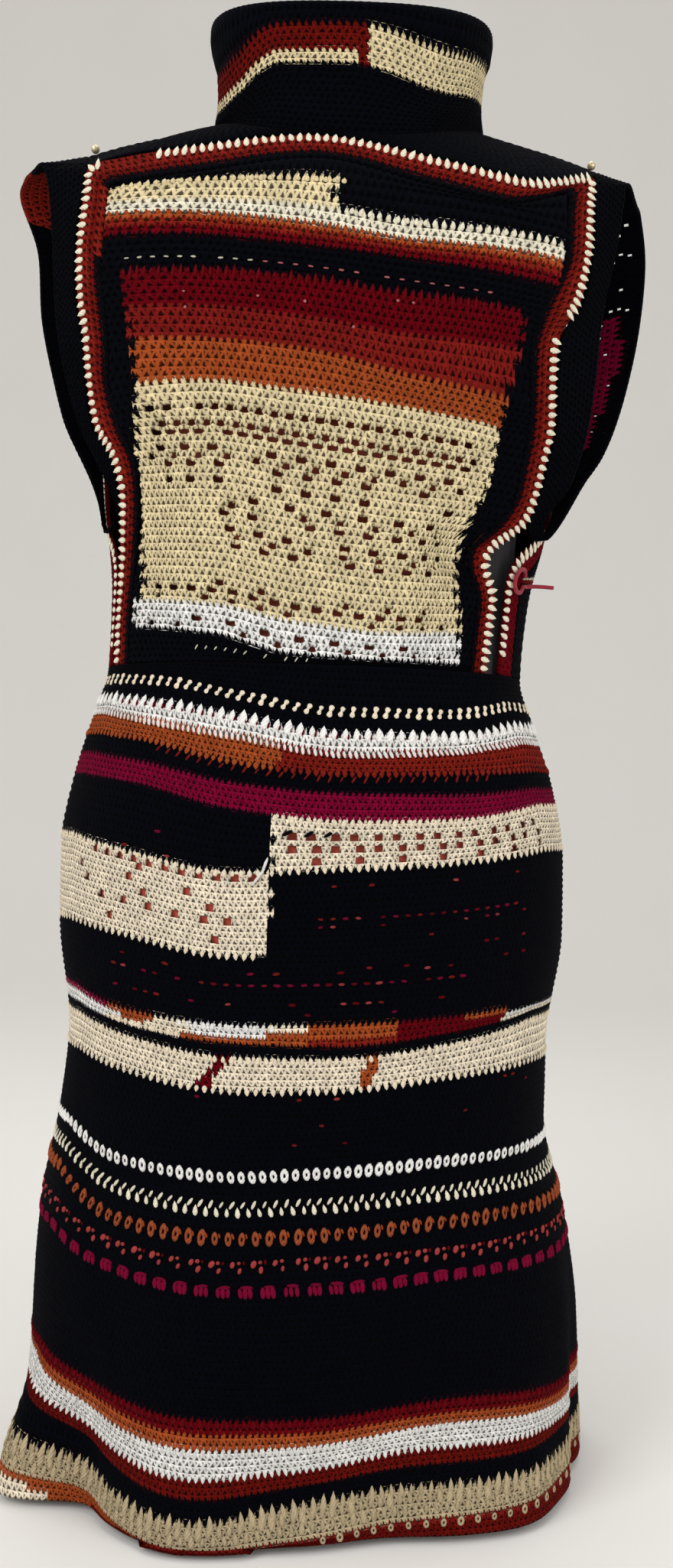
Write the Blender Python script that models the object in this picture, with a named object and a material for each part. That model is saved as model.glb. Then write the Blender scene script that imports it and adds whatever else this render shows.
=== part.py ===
# A crochet coat that stands on a limbless dress form.
#
# Metres, +Z up. The back of the coat faces -Y, and +X is the right-hand side of
# somebody looking at that back. Every piece of cloth is a wall of one thickness
# that follows one of three surfaces: the coat's body, its yoke or its collar.
# A place on the body is an angle round it, from 0 at the middle of the back to
# 180 degrees at the middle of the front, and a height above the ground.

from collections import namedtuple
from math import asin, copysign, cos, degrees, exp, radians, sin

import bmesh
import bpy
from mathutils import Vector

# Driving sizes.
CLOTH = 0.0030                 # thickness of the crocheted wall
SEAM = 0.0003                  # gap left between two pieces that are sewn together
ARMHOLE_SEAM = 0.0005          # the same gap round the armholes, where the walls turn
HEM = 0.006                    # height of the hem above the ground
WAIST = 0.605                  # height of the seam between bodice and skirt
SQUARENESS = 0.92              # 1 gives elliptical sections, less gives squarer ones
SIDE_SEAM = 92.0               # angle of the skirt's side seams
FRONT_OPENING = 179.0          # angle of the two front edges
FRONT_BAND = 0.020             # width of the edging on the fronts' armhole edges

# Sections of the coat's body, from the hem to the shoulders. The four sizes are
# how far the cloth reaches from the axis to each side.
Section = namedtuple("Section", "height left right back front")
BODY = [
    Section(HEM,   0.211, 0.222, 0.156, 0.146),
    Section(0.060, 0.209, 0.219, 0.152, 0.142),
    Section(0.120, 0.207, 0.216, 0.149, 0.136),
    Section(0.200, 0.202, 0.203, 0.144, 0.128),
    Section(0.270, 0.190, 0.186, 0.140, 0.122),
    Section(0.330, 0.185, 0.186, 0.138, 0.120),
    Section(0.410, 0.195, 0.196, 0.137, 0.120),
    Section(0.470, 0.196, 0.195, 0.134, 0.118),
    Section(0.520, 0.188, 0.186, 0.124, 0.112),
    Section(0.570, 0.174, 0.169, 0.112, 0.104),
    Section(WAIST, 0.164, 0.158, 0.104, 0.100),
    Section(0.660, 0.163, 0.162, 0.100, 0.105),
    Section(0.710, 0.168, 0.173, 0.100, 0.116),
    Section(0.760, 0.180, 0.186, 0.106, 0.127),
    Section(0.820, 0.200, 0.206, 0.113, 0.131),
    Section(0.880, 0.212, 0.217, 0.116, 0.123),
    Section(0.930, 0.218, 0.223, 0.111, 0.107),
    Section(0.970, 0.220, 0.225, 0.097, 0.090),
    Section(1.010, 0.218, 0.222, 0.070, 0.068),
]

# Folds of the skirt. Each is a soft ridge (depth above 0) or trough, widest and
# deepest at the hem and gone at its top height.
Fold = namedtuple("Fold", "angle half_width depth top")
FOLDS = [
    Fold(-60.0, 9.0, 0.0300, 0.120),
    Fold(-44.0, 7.0, -0.0090, 0.150),
    Fold(-20.0, 13.0, 0.0130, 0.200),
    Fold(16.0, 12.0, -0.0100, 0.180),
    Fold(46.0, 11.0, 0.0080, 0.160),
    Fold(76.0, 6.0, -0.0080, 0.230),
    Fold(-84.0, 8.0, -0.0060, 0.170),
    Fold(104.0, 11.0, 0.0100, 0.200),
    Fold(128.0, 10.0, -0.0080, 0.170),
    Fold(152.0, 11.0, 0.0110, 0.220),
    Fold(-112.0, 12.0, 0.0120, 0.210),
    Fold(-138.0, 10.0, -0.0090, 0.160),
    Fold(-158.0, 9.0, 0.0080, 0.200),
]

# The back panel's two outer edges, and the width of the edging inside each.
BackEdge = namedtuple("BackEdge", "height left right left_band right_band")
BACK_EDGES = [
    BackEdge(WAIST, 0.155, 0.125, 0.014, 0.014),
    BackEdge(0.640, 0.155, 0.129, 0.014, 0.015),
    BackEdge(0.665, 0.154, 0.131, 0.015, 0.016),
    BackEdge(0.686, 0.153, 0.124, 0.016, 0.018),
    BackEdge(0.702, 0.153, 0.133, 0.017, 0.019),
    BackEdge(0.722, 0.153, 0.157, 0.018, 0.020),
    BackEdge(0.745, 0.155, 0.164, 0.019, 0.021),
    BackEdge(0.770, 0.166, 0.169, 0.021, 0.022),
    BackEdge(0.795, 0.180, 0.173, 0.022, 0.023),
    BackEdge(0.830, 0.182, 0.171, 0.023, 0.024),
    BackEdge(0.862, 0.186, 0.175, 0.024, 0.024),
    BackEdge(0.890, 0.191, 0.193, 0.024, 0.024),
    BackEdge(0.930, 0.189, 0.197, 0.024, 0.024),
    BackEdge(0.970, 0.183, 0.198, 0.024, 0.024),
]

# Height of the back panel's top edge across the back, and of the fronts' top edges.
TopEdge = namedtuple("TopEdge", "across height")
BACK_TOP = [
    TopEdge(-0.182, 0.977),
    TopEdge(-0.107, 0.981),
    TopEdge(-0.013, 0.992),
    TopEdge(0.078, 0.974),
    TopEdge(0.144, 0.966),
    TopEdge(0.198, 0.984),
]
FRONT_TOP = [
    TopEdge(0.000, 0.962),
    TopEdge(0.060, 0.970),
    TopEdge(0.120, 0.972),
    TopEdge(0.190, 0.980),
]

# The fronts' side edges, as angles round the body. They run up the side, turn
# under the arm and climb to the shoulder.
FrontEdge = namedtuple("FrontEdge", "height left right opening")
FRONT_EDGES = [
    FrontEdge(WAIST, 73.5, 57.0, WAIST),
    FrontEdge(0.645, 72.5, 57.5, 0.645),
    FrontEdge(0.676, 70.5, 57.0, 0.684),
    FrontEdge(0.694, 72.0, 60.0, 0.720),
    FrontEdge(0.708, 79.0, 69.0, 0.755),
    FrontEdge(0.724, 87.0, 80.0, 0.785),
    FrontEdge(0.748, 95.0, 92.0, 0.815),
    FrontEdge(0.782, 104.0, 103.0, 0.845),
    FrontEdge(0.828, 112.0, 112.0, 0.875),
    FrontEdge(0.880, 117.0, 117.0, 0.905),
    FrontEdge(0.935, 119.0, 119.0, 0.935),
]

# The mouths of the sleeves. The front half of each reaches further out.
Mouth = namedtuple("Mouth", "height left_back left_front right_back right_front")
MOUTHS = [
    Mouth(0.715, 0.168, 0.180, 0.177, 0.186),
    Mouth(0.745, 0.174, 0.190, 0.187, 0.200),
    Mouth(0.770, 0.184, 0.200, 0.194, 0.210),
    Mouth(0.795, 0.193, 0.210, 0.201, 0.226),
    Mouth(0.830, 0.201, 0.221, 0.205, 0.239),
    Mouth(0.870, 0.209, 0.232, 0.207, 0.249),
    Mouth(0.910, 0.212, 0.239, 0.214, 0.254),
    Mouth(0.950, 0.214, 0.240, 0.221, 0.256),
    Mouth(0.990, 0.224, 0.256, 0.226, 0.250),
]
MOUTH_MIDDLE = 0.004           # place along Y that a mouth closes towards
MOUTH_CLOSE = 0.38             # share of the way there from the armhole seam
UNDERARM = 0.700               # height below which nothing of a sleeve is sewn
MOUTH_LOW = {-1: 0.706, 1: 0.716}
MOUTH_HIGH = 0.996

# The shoulder tip, where the yoke ends, and the collar.
TIP_ACROSS = {-1: 0.190, 1: 0.204}
TIP_HEIGHT = 1.001
YOKE_BULGE = 0.0025
LEAN = 0.011                   # the collar stands a little to the right of the axis
CollarRing = namedtuple("CollarRing", "share half_width back front")
COLLAR = [
    CollarRing(0.00, 0.1060, 0.0730, 0.066),
    CollarRing(0.30, 0.1035, 0.0725, 0.066),
    CollarRing(0.60, 0.1050, 0.0760, 0.069),
    CollarRing(0.85, 0.1105, 0.0820, 0.074),
    CollarRing(1.00, 0.1110, 0.0850, 0.077),
]
NECKLINE = {"back": 0.9965, "side": 1.028, "front": 0.975}
RIM = {"back": 1.088, "side": 1.107, "front": 1.098}

# The dress form. Up to the shoulders its depths come from the coat's own.
FORM_BOTTOM = 0.250
FORM_EASE = [(0.250, 0.012), (0.330, 0.005), (0.410, 0.0006), (0.470, 0.0006), (0.570, 0.0030),
             (0.700, 0.0040), (0.880, 0.0050)]
FormRing = namedtuple("FormRing", "side back front half_width back_depth front_depth")
FORM_CHEST = [
    FormRing(0.660, 0.660, 0.660, 0.149, 0.093, 0.098),
    FormRing(0.720, 0.720, 0.720, 0.152, 0.093, 0.110),
    FormRing(0.780, 0.780, 0.780, 0.160, 0.099, 0.120),
    FormRing(0.840, 0.840, 0.840, 0.166, 0.104, 0.117),
    FormRing(0.900, 0.895, 0.890, 0.173, 0.102, 0.105),
    FormRing(0.940, 0.930, 0.920, 0.180, 0.092, 0.090),
    FormRing(0.966, 0.952, 0.940, 0.184, 0.080, 0.077),
    FormRing(0.984, 0.967, 0.953, 0.181, 0.070, 0.067),
]
FORM_RIDGE = [0.168, 0.140, 0.116]     # half widths of the rings that touch the yoke's ridge
FORM_NECK = [
    FormRing(1.026, 0.999, 0.975, 0.084, 0.056, 0.050),
    FormRing(1.036, 1.012, 0.990, 0.066, 0.053, 0.048),
    FormRing(1.048, 1.034, 1.020, 0.059, 0.052, 0.048),
    FormRing(1.068, 1.068, 1.068, 0.057, 0.051, 0.048),
]
FORM_STEPS = 48
CAP_RADIUS = 0.050
CAP_THICK = 0.014
POLE_RADIUS = 0.014
BASE_RADIUS = 0.120
BASE_THICK = 0.014
HUB_RADIUS = 0.030
HUB_TOP = 0.034

PIN_RADIUS = 0.0034
TIE_RADIUS = 0.0016
TIE_SIDES = 6


# ---- Small helpers -------------------------------------------------------------

def blend(a, b, share):
    return a + (b - a) * share


def smooth(share):
    share = min(max(share, 0.0), 1.0)
    return share * share * (3.0 - 2.0 * share)


def along(xs, ys, x):
    """Smooth curve through a table's points, level past its ends."""
    if x <= xs[0]:
        return ys[0]
    if x >= xs[-1]:
        return ys[-1]
    i = max(k for k in range(len(xs) - 1) if xs[k] <= x)
    steps = [(ys[k + 1] - ys[k]) / (xs[k + 1] - xs[k]) for k in range(len(xs) - 1)]

    def slope(k):
        if k == 0 or k == len(xs) - 1 or steps[k - 1] * steps[k] <= 0.0:
            return 0.0 if 0 < k < len(xs) - 1 else steps[min(k, len(steps) - 1)]
        return 2.0 * steps[k - 1] * steps[k] / (steps[k - 1] + steps[k])

    span = xs[i + 1] - xs[i]
    t = (x - xs[i]) / span
    return (ys[i] * (1 + 2 * t) * (1 - t) ** 2 + ys[i + 1] * t * t * (3 - 2 * t)
            + span * (slope(i) * t * (1 - t) ** 2 + slope(i + 1) * t * t * (t - 1)))


def column(table, name, place, key="height"):
    return along([getattr(row, key) for row in table], [getattr(row, name) for row in table], place)


def power(value, exponent):
    return copysign(abs(value) ** exponent, value)


# ---- The surfaces --------------------------------------------------------------

def fold_push(angle, height):
    push = 0.0
    for fold in FOLDS:
        grow = smooth((fold.top - height) / (fold.top - HEM))
        turn = (angle - fold.angle + 180.0) % 360.0 - 180.0
        push += fold.depth * grow * exp(-(turn / fold.half_width) ** 2)
    return push


def body_point(angle, height):
    turn = radians(angle)
    side = column(BODY, "right" if sin(turn) >= 0 else "left", height)
    depth = column(BODY, "back" if cos(turn) >= 0 else "front", height)
    push = fold_push(angle, height)
    return Vector((side * power(sin(turn), SQUARENESS) + push * sin(turn),
                   -depth * power(cos(turn), SQUARENESS) - push * cos(turn),
                   height))


def body_normal(angle, height):
    step = 0.5
    lift = 0.002
    round_way = body_point(angle + step, height) - body_point(angle - step, height)
    up_way = body_point(angle, height + lift) - body_point(angle, height - lift)
    return round_way.cross(up_way).normalized()


def metres_per_degree(angle, height):
    return (body_point(angle + 1, height) - body_point(angle - 1, height)).length / 2


def back_angle(across, height):
    side = column(BODY, "right" if across >= 0 else "left", height)
    return copysign(degrees(asin(min(abs(across) / side, 1.0) ** (1.0 / SQUARENESS))), across)


def front_angle(across, height):
    turn = back_angle(across, height)
    return copysign(180.0, across) - turn


def back_top(across):
    return column(BACK_TOP, "height", across, "across")


def front_top(across):
    return column(FRONT_TOP, "height", abs(across), "across")


def ring_height(sizes, angle):
    share = cos(radians(angle)) ** 2
    end = sizes["back"] if abs(angle) <= 90.0 else sizes["front"]
    return blend(sizes["side"], end, share)


def collar_point(angle, share):
    turn = radians(angle)
    half_width = column(COLLAR, "half_width", share, "share")
    depth = column(COLLAR, "back" if abs(angle) <= 90.0 else "front", share, "share")
    return Vector((LEAN + half_width * sin(turn), -depth * cos(turn),
                   blend(ring_height(NECKLINE, angle), ring_height(RIM, angle), share)))


def collar_normal(angle, share):
    step = 0.5
    lift = 0.01
    round_way = collar_point(angle + step, share) - collar_point(angle - step, share)
    up_way = collar_point(angle, share + lift) - collar_point(angle, share - lift)
    return round_way.cross(up_way).normalized()


def neck_mitre(angle):
    """Direction of the cut between collar and yoke, and the way from one to the other."""
    turn = radians(angle)
    outward = Vector((sin(turn), -cos(turn), 0.0))
    rise = Vector((0.0, 0.0, 1.0))
    return (outward + rise).normalized(), (outward - rise).normalized()


# ---- Walls of cloth ------------------------------------------------------------

def make_object(name, bm, colour, roughness=0.9, metallic=0.0):
    mesh = bpy.data.meshes.new(name)
    bmesh.ops.recalc_face_normals(bm, faces=bm.faces)
    if bm.calc_volume(signed=True) < 0.0:
        bmesh.ops.reverse_faces(bm, faces=bm.faces)
    bm.to_mesh(mesh)
    bm.free()
    made = bpy.data.objects.new(name, mesh)
    bpy.context.collection.objects.link(made)
    material = bpy.data.materials.new(name)
    material.use_nodes = True
    shader = material.node_tree.nodes["Principled BSDF"]
    shader.inputs["Base Color"].default_value = (*colour, 1.0)
    shader.inputs["Roughness"].default_value = roughness
    shader.inputs["Metallic"].default_value = metallic
    mesh.materials.append(material)
    mesh.shade_smooth()
    mesh.set_sharp_from_angle(angle=radians(40.0))
    return made


def wall(name, rows, colour, closed=False):
    """One piece of cloth, from rows of (outer point, inner point) pairs."""
    bm = bmesh.new()
    outer = [[bm.verts.new(pair[0]) for pair in row] for row in rows]
    inner = [[bm.verts.new(pair[1]) for pair in row] for row in rows]
    across = len(rows[0])
    steps = across if closed else across - 1
    for i in range(len(rows) - 1):
        for j in range(steps):
            k = (j + 1) % across
            bm.faces.new((outer[i][j], outer[i][k], outer[i + 1][k], outer[i + 1][j]))
            bm.faces.new((inner[i][j], inner[i + 1][j], inner[i + 1][k], inner[i][k]))
    for i in (0, len(rows) - 1):
        for j in range(steps):
            k = (j + 1) % across
            bm.faces.new((outer[i][j], inner[i][j], inner[i][k], outer[i][k]))
    if not closed:
        for j in (0, across - 1):
            for i in range(len(rows) - 1):
                bm.faces.new((outer[i][j], outer[i + 1][j], inner[i + 1][j], inner[i][j]))
    return make_object(name, bm, colour)


def body_pair(angle, height):
    point = body_point(angle, height)
    return point, point - CLOTH * body_normal(angle, height)


def body_wall(name, rows, colour):
    return wall(name, [[body_pair(*spot) for spot in row] for row in rows], colour)


def seam_turn(angle, height, gap=SEAM):
    """The angle that half a seam's gap takes up at a place on the body."""
    point = body_point(angle, height)
    return degrees(0.5 * gap / Vector((point.x, point.y)).length)


# ---- Skirt ---------------------------------------------------------------------

SKIRT_HEIGHTS = [HEM, 0.030, 0.060, 0.090, 0.120, 0.160, 0.200, 0.235, 0.270, 0.330, 0.370,
                 0.410, 0.440, 0.470, 0.520, 0.570, WAIST]


def skirt_panel(name, start, end, steps, colour):
    rows = []
    for height in SKIRT_HEIGHTS:
        top = height - SEAM / 2 if height == WAIST else height
        first = start + seam_turn(start, top) if abs(start) < FRONT_OPENING else start
        last = end - seam_turn(end, top) if abs(end) < FRONT_OPENING else end
        rows.append([(blend(first, last, j / steps), top) for j in range(steps + 1)])
    return body_wall(name, rows, colour)


# ---- Bodice back and its edging ------------------------------------------------

BACK_STATIONS = 8              # columns of the back panel from its middle to each corner


def back_edge(side, height):
    return side * column(BACK_EDGES, "left" if side < 0 else "right", height)


def back_band(side, height):
    return column(BACK_EDGES, "left_band" if side < 0 else "right_band", height)


def back_corner(side):
    """Where the back panel's side edge meets its top edge."""
    height = 0.98
    for _ in range(4):
        height = back_top(back_edge(side, height))
    return back_edge(side, height), height


def back_columns():
    """Places across the back panel's top edge, from its left corner to its right one."""
    left, _ = back_corner(-1)
    right, _ = back_corner(1)
    return ([left * k / BACK_STATIONS for k in range(BACK_STATIONS, 0, -1)]
            + [right * k / BACK_STATIONS for k in range(BACK_STATIONS + 1)])


def back_spot(across, height):
    return back_angle(across, height), height


def back_shares():
    """Shares of the way up the back panel at which it has a row, the same on both sides."""
    last = BACK_EDGES[-1].height
    return [0.94 * (row.height - WAIST) / (last - WAIST) for row in BACK_EDGES] + [1.0]


def side_heights(side, width=0.0):
    """The rows' heights on one edge of the back panel, or on a line one band inside it."""
    _, top = back_corner(side)
    return [blend(WAIST + SEAM / 2, top - width, share) for share in back_shares()]


def bodice_back(colour):
    columns = back_columns()
    rows = []
    for share in back_shares():
        row = []
        for across in columns:
            u = (across - columns[0]) / (columns[-1] - columns[0])
            top = back_top(across) - back_band(1, 1.0) - SEAM
            height = blend(WAIST + SEAM / 2, top, share)
            first = back_edge(-1, height) + back_band(-1, height) + SEAM
            last = back_edge(1, height) - back_band(1, height) - SEAM
            row.append(back_spot(blend(first, last, u), height))
        rows.append(row)
    return body_wall("bodice_back", rows, colour)


def back_edging(colour):
    """Up the left edge, along the top and down the right edge, one band wide."""
    outer = {}
    inner = {}
    width = back_band(1, 1.0)
    for side in (-1, 1):
        outer[side] = [back_spot(back_edge(side, h), h) for h in side_heights(side)[:-1]]
        inner[side] = [back_spot(back_edge(side, h) - side * back_band(side, h), h)
                       for h in side_heights(side, width)[:-1]]
    columns = back_columns()
    outer_top = []
    inner_top = []
    for across in columns:
        u = (across - columns[0]) / (columns[-1] - columns[0])
        low = back_top(across) - width
        first = back_edge(-1, low) + back_band(-1, low)
        last = back_edge(1, low) - back_band(1, low)
        outer_top.append(back_spot(across, back_top(across)))
        inner_top.append(back_spot(blend(first, last, u), low))
    return body_wall("back_edging", [outer[-1] + outer_top + outer[1][::-1],
                                     inner[-1] + inner_top + inner[1][::-1]], colour)


# ---- Bodice fronts and their armhole edging ------------------------------------

def front_corner(side):
    """Where a front's armhole edge meets its top edge."""
    across = 0.190
    height = front_top(across)
    return front_angle(side * across, height), height


FRONT_STEPS = 12               # columns of a front panel


def front_top_row(side):
    """Places along a front's top edge: its corner, then one for each column of the panel."""
    angle, height = front_corner(side)
    inset = side * FRONT_BAND / metres_per_degree(angle, height)
    row = [(angle, height)]
    for j in range(FRONT_STEPS + 1):
        turn = blend(angle + inset, side * FRONT_OPENING, j / FRONT_STEPS)
        row.append((turn, front_top(body_point(turn, height).x)))
    return row


def front_edge_path(side):
    name = "left" if side < 0 else "right"
    path = [(side * getattr(row, name), row.height) for row in FRONT_EDGES]
    path[0] = (path[0][0], WAIST + SEAM / 2)
    path.append(front_corner(side))
    return path


def inset_path(path, width):
    """The same path moved onto the panel by a width measured on the cloth."""
    moved = []
    for i, (angle, height) in enumerate(path):
        before = body_point(*path[max(i - 1, 0)])
        after = body_point(*path[min(i + 1, len(path) - 1)])
        normal = body_normal(angle, height)
        side = 1 if angle > 0 else -1
        inward = (after - before).cross(normal).normalized() * side
        round_way = (body_point(angle + 1, height) - body_point(angle - 1, height)).normalized()
        turn = inward.dot(round_way) * width / metres_per_degree(angle, height)
        drop = inward.z * width
        if i in (0, len(path) - 1):
            turn = side * width / metres_per_degree(angle, height)
            drop = 0.0
        moved.append((angle + turn, height + drop))
    last, height = moved[-1]
    moved[-1] = (last, front_top(body_point(last, height).x))
    return moved


def bodice_front(side, colour):
    edge = inset_path(front_edge_path(side), FRONT_BAND + SEAM)
    rows = []
    for (angle, height), station in zip(edge, FRONT_EDGES):
        opening = max(station.opening, height) if station.height > WAIST else height
        rows.append([(blend(angle, side * FRONT_OPENING, j / FRONT_STEPS),
                      blend(height, opening, j / FRONT_STEPS)) for j in range(FRONT_STEPS + 1)])
    rows.append([edge[-1]] + front_top_row(side)[2:])
    name = "bodice_front_left" if side < 0 else "bodice_front_right"
    return body_wall(name, rows, colour)


def front_edging(side, colour):
    path = front_edge_path(side)
    name = "front_edging_left" if side < 0 else "front_edging_right"
    return body_wall(name, [path, inset_path(path, FRONT_BAND)], colour)


# ---- Yoke ----------------------------------------------------------------------

TIP_STATIONS = 4
CORNER_TURN = 76.0             # collar angle that faces the shoulder tip's back corner


def tip_point(side, share):
    """The yoke's end over the shoulder, from its back corner to its front corner."""
    back = body_point(*back_spot(*back_corner(side)))
    front = body_point(*front_corner(side))
    middle = Vector((side * TIP_ACROSS[side], 0.5 * (back.y + front.y), TIP_HEIGHT))
    q = 2 * share - 1
    return middle * (1 - q * q) + back * (q * q - q) / 2 + front * (q * q + q) / 2


def yoke_outline(side):
    """(collar angle, point, normal of the cut, gap direction) from the nape to the opening."""
    corner, _ = back_corner(side)
    rows = []
    for k in range(BACK_STATIONS):
        x = corner * k / BACK_STATIONS
        spot = back_spot(x, back_top(x))
        rows.append((side * CORNER_TURN * k / BACK_STATIONS, body_point(*spot), body_normal(*spot),
                     Vector((0, 0, 1))))
    for k in range(TIP_STATIONS + 1):
        share = k / TIP_STATIONS
        angle = side * blend(CORNER_TURN, 180 - CORNER_TURN, share)
        way = Vector((0, 0, 1))
        if k == 0:
            spot = back_spot(*back_corner(side))
            cut = body_normal(*spot)
        elif k == TIP_STATIONS:
            cut = body_normal(*front_corner(side))
        else:
            cut = Vector((0.25 * side, 0.9 * (2 * share - 1), 1)).normalized()
            way = Vector((-side, 0, 0))
        rows.append((angle, tip_point(side, share), cut, way))
    front = front_top_row(side)[1:]
    for k, spot in enumerate(front):
        angle = side * blend(180 - CORNER_TURN, FRONT_OPENING - 2, (k + 1) / len(front))
        rows.append((angle, body_point(*spot), body_normal(*spot), Vector((0, 0, 1))))
    return rows


YOKE_SHARES = [0.0, 0.35, 0.7, 1.0]


def yoke_pairs(station):
    """The yoke's outer and inner points on its way from the collar to its outer edge."""
    angle, edge, cut, way = station
    neck_cut, neck_way = neck_mitre(angle)
    neck = collar_point(angle, 0.0) + SEAM * neck_way
    pairs = []
    for share in YOKE_SHARES:
        face = neck_cut.lerp(cut, share).normalized()
        point = neck.lerp(edge + SEAM * way, share) + face * YOKE_BULGE * 4 * share * (1 - share)
        pairs.append((point, point - CLOTH * face))
    return pairs


def yoke_stations():
    """All stations, from the left front edge round the nape to the right front edge."""
    return yoke_outline(-1)[::-1] + yoke_outline(1)[1:]


def yoke(colour):
    columns = [yoke_pairs(station) for station in yoke_stations()]
    rows = [[pairs[i] for pairs in columns] for i in range(len(YOKE_SHARES))]
    return wall("yoke", rows, colour)


def ridge_height(half_width, side):
    """Height of the yoke's outer face along the top of the shoulder."""
    neck = collar_point(90.0 * side, 0.0)
    tip = tip_point(side, 0.5)
    share = (half_width - abs(neck.x)) / (abs(tip.x) - abs(neck.x))
    return blend(neck.z, tip.z, share) + YOKE_BULGE * 4 * share * (1 - share)


# ---- Collar --------------------------------------------------------------------

def collar(colour):
    angles = [station[0] for station in yoke_stations()]
    rows = []
    for share in [0.0, 0.25, 0.5, 0.75, 1.0]:
        row = []
        for angle in angles:
            point = collar_point(angle, share)
            face = neck_mitre(angle)[0] if share == 0.0 else collar_normal(angle, share)
            row.append((point, point - CLOTH * face))
        rows.append(row)
    return wall("collar", rows, colour)


# ---- Sleeves -------------------------------------------------------------------

def mouth_point(side, height, front, seam):
    """The point of a sleeve's mouth that faces a seam point; front is 0 on its back half."""
    name = "left" if side < 0 else "right"
    reach = blend(column(MOUTHS, name + "_back", height), column(MOUTHS, name + "_front", height), front)
    return Vector((side * reach, blend(seam.y, MOUTH_MIDDLE, MOUTH_CLOSE), height))


def armhole_loop(side):
    """(seam point, its normal, way out of the body, mouth point) round one armhole."""
    loop = []
    yoke_end = yoke_outline(side)[BACK_STATIONS:BACK_STATIONS + TIP_STATIONS + 1]
    for k, (_, point, cut, _) in enumerate(yoke_end):
        share = k / TIP_STATIONS
        height = blend(0.985, MOUTH_HIGH, 1 - (2 * share - 1) ** 2)
        mouth = mouth_point(side, height, share, point)
        loop.append((point, cut, Vector((side, 0, 0)), mouth))
    top_front = loop.pop()
    front = [spot for spot in front_edge_path(side) if spot[1] > UNDERARM]
    back = [back_spot(back_edge(side, h), h) for h in reversed(side_heights(side)[:-1])
            if h > UNDERARM]
    lowest = front[0][1]
    run = [(spot, 0.0) for spot in back] + [(spot, 1.0) for spot in front[:-1]]
    tail = []
    for i, (spot, half) in enumerate(run):
        height = blend(MOUTH_LOW[side], 0.985, max(0.0, spot[1] - lowest) / (0.972 - lowest))
        height = min(height, 0.985)
        mouth = mouth_point(side, height, half, body_point(*spot))
        before = body_point(*run[max(i - 1, 0)][0])
        after = body_point(*run[min(i + 1, len(run) - 1)][0])
        normal = body_normal(*spot)
        way = (after - before).cross(normal).normalized() * -side
        tail.append((body_point(*spot), normal, way, mouth))
    # The loop starts at the back corner, goes down the back, up the front and over the tip.
    return [loop[0]] + tail + [top_front] + list(reversed(loop[1:]))


def sleeve(side, colour):
    loop = armhole_loop(side)
    count = len(loop)
    shares = [0.0, 0.5, 1.0]
    seam = [point + ARMHOLE_SEAM * way for point, _, way, _ in loop]
    mouth = [entry[3] for entry in loop]
    middle = [seam[j].lerp(mouth[j], 0.5) for j in range(count)]
    rows = []
    for share in shares:
        row = []
        for j in range(count):
            round_way = middle[(j + 1) % count] - middle[j - 1]
            inward = round_way.cross(mouth[j] - seam[j]).normalized() * -side
            into_panel = inward.dot(loop[j][2])
            if share == 0.0 and into_panel < 0.0:
                inward = (inward - into_panel * loop[j][2]).normalized()
            point = seam[j].lerp(mouth[j], share)
            row.append((point, point + CLOTH * inward))
        rows.append(row)
    return wall("sleeve_left" if side < 0 else "sleeve_right", rows, colour, closed=True)


# ---- Pins and tie --------------------------------------------------------------

def shoulder_pin(side, colour):
    """A pin's round head, seated on the yoke beside the shoulder tip."""
    station = yoke_outline(side)[BACK_STATIONS + 1]
    pairs = yoke_pairs(station)
    seat = pairs[-2][0].lerp(pairs[-1][0], 0.8)
    up = (pairs[-1][0] - pairs[-1][1]).normalized()
    bm = bmesh.new()
    bmesh.ops.create_uvsphere(bm, u_segments=12, v_segments=8, radius=PIN_RADIUS)
    turn = up.to_track_quat("Z", "Y").to_matrix().to_4x4()
    bmesh.ops.transform(bm, matrix=turn, verts=bm.verts)
    bmesh.ops.translate(bm, vec=seat + up * (PIN_RADIUS + SEAM), verts=bm.verts)
    return make_object("shoulder_pin_left" if side < 0 else "shoulder_pin_right", bm, colour,
                       roughness=0.3, metallic=0.8)


def side_tie(colour):
    """A yarn end that is knotted round the front's edging: a small loop and its tail."""
    middle = (63.0, 0.6770)
    half_width = 3.8
    half_height = 0.0090
    lift = TIE_RADIUS + 0.0003
    path = []
    for k in range(19):
        turn = radians(blend(25.0, 338.0, k / 18))
        spot = (middle[0] + half_width * cos(turn), middle[1] + half_height * sin(turn))
        path.append((spot, lift + 0.0015 * sin(turn / 2)))
    for k in range(1, 6):
        spot = (middle[0] + half_width + 1.6 * k, middle[1] - 0.0040 + 0.0010 * k)
        path.append((spot, lift + 0.0007 * k * k))
    normals = [body_normal(*spot) for spot, _ in path]
    points = [body_point(*spot) + rise * normal for (spot, rise), normal in zip(path, normals)]
    bm = bmesh.new()
    rings = []
    for i, (point, normal) in enumerate(zip(points, normals)):
        forward = (points[min(i + 1, len(points) - 1)] - points[max(i - 1, 0)]).normalized()
        across = forward.cross(normal).normalized()
        up = across.cross(forward)
        ring = []
        for k in range(TIE_SIDES):
            turn = radians(360.0 * k / TIE_SIDES)
            ring.append(bm.verts.new(point + TIE_RADIUS * (cos(turn) * up + sin(turn) * across)))
        rings.append(ring)
    for below, above in zip(rings, rings[1:]):
        for k in range(TIE_SIDES):
            n = (k + 1) % TIE_SIDES
            bm.faces.new((below[k], below[n], above[n], above[k]))
    bm.faces.new(rings[0][::-1])
    bm.faces.new(rings[-1])
    return make_object("side_tie", bm, colour, roughness=0.8)


# ---- Dress form and stand ------------------------------------------------------

def form_ease(height):
    return along([row[0] for row in FORM_EASE], [row[1] for row in FORM_EASE], height)


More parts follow.
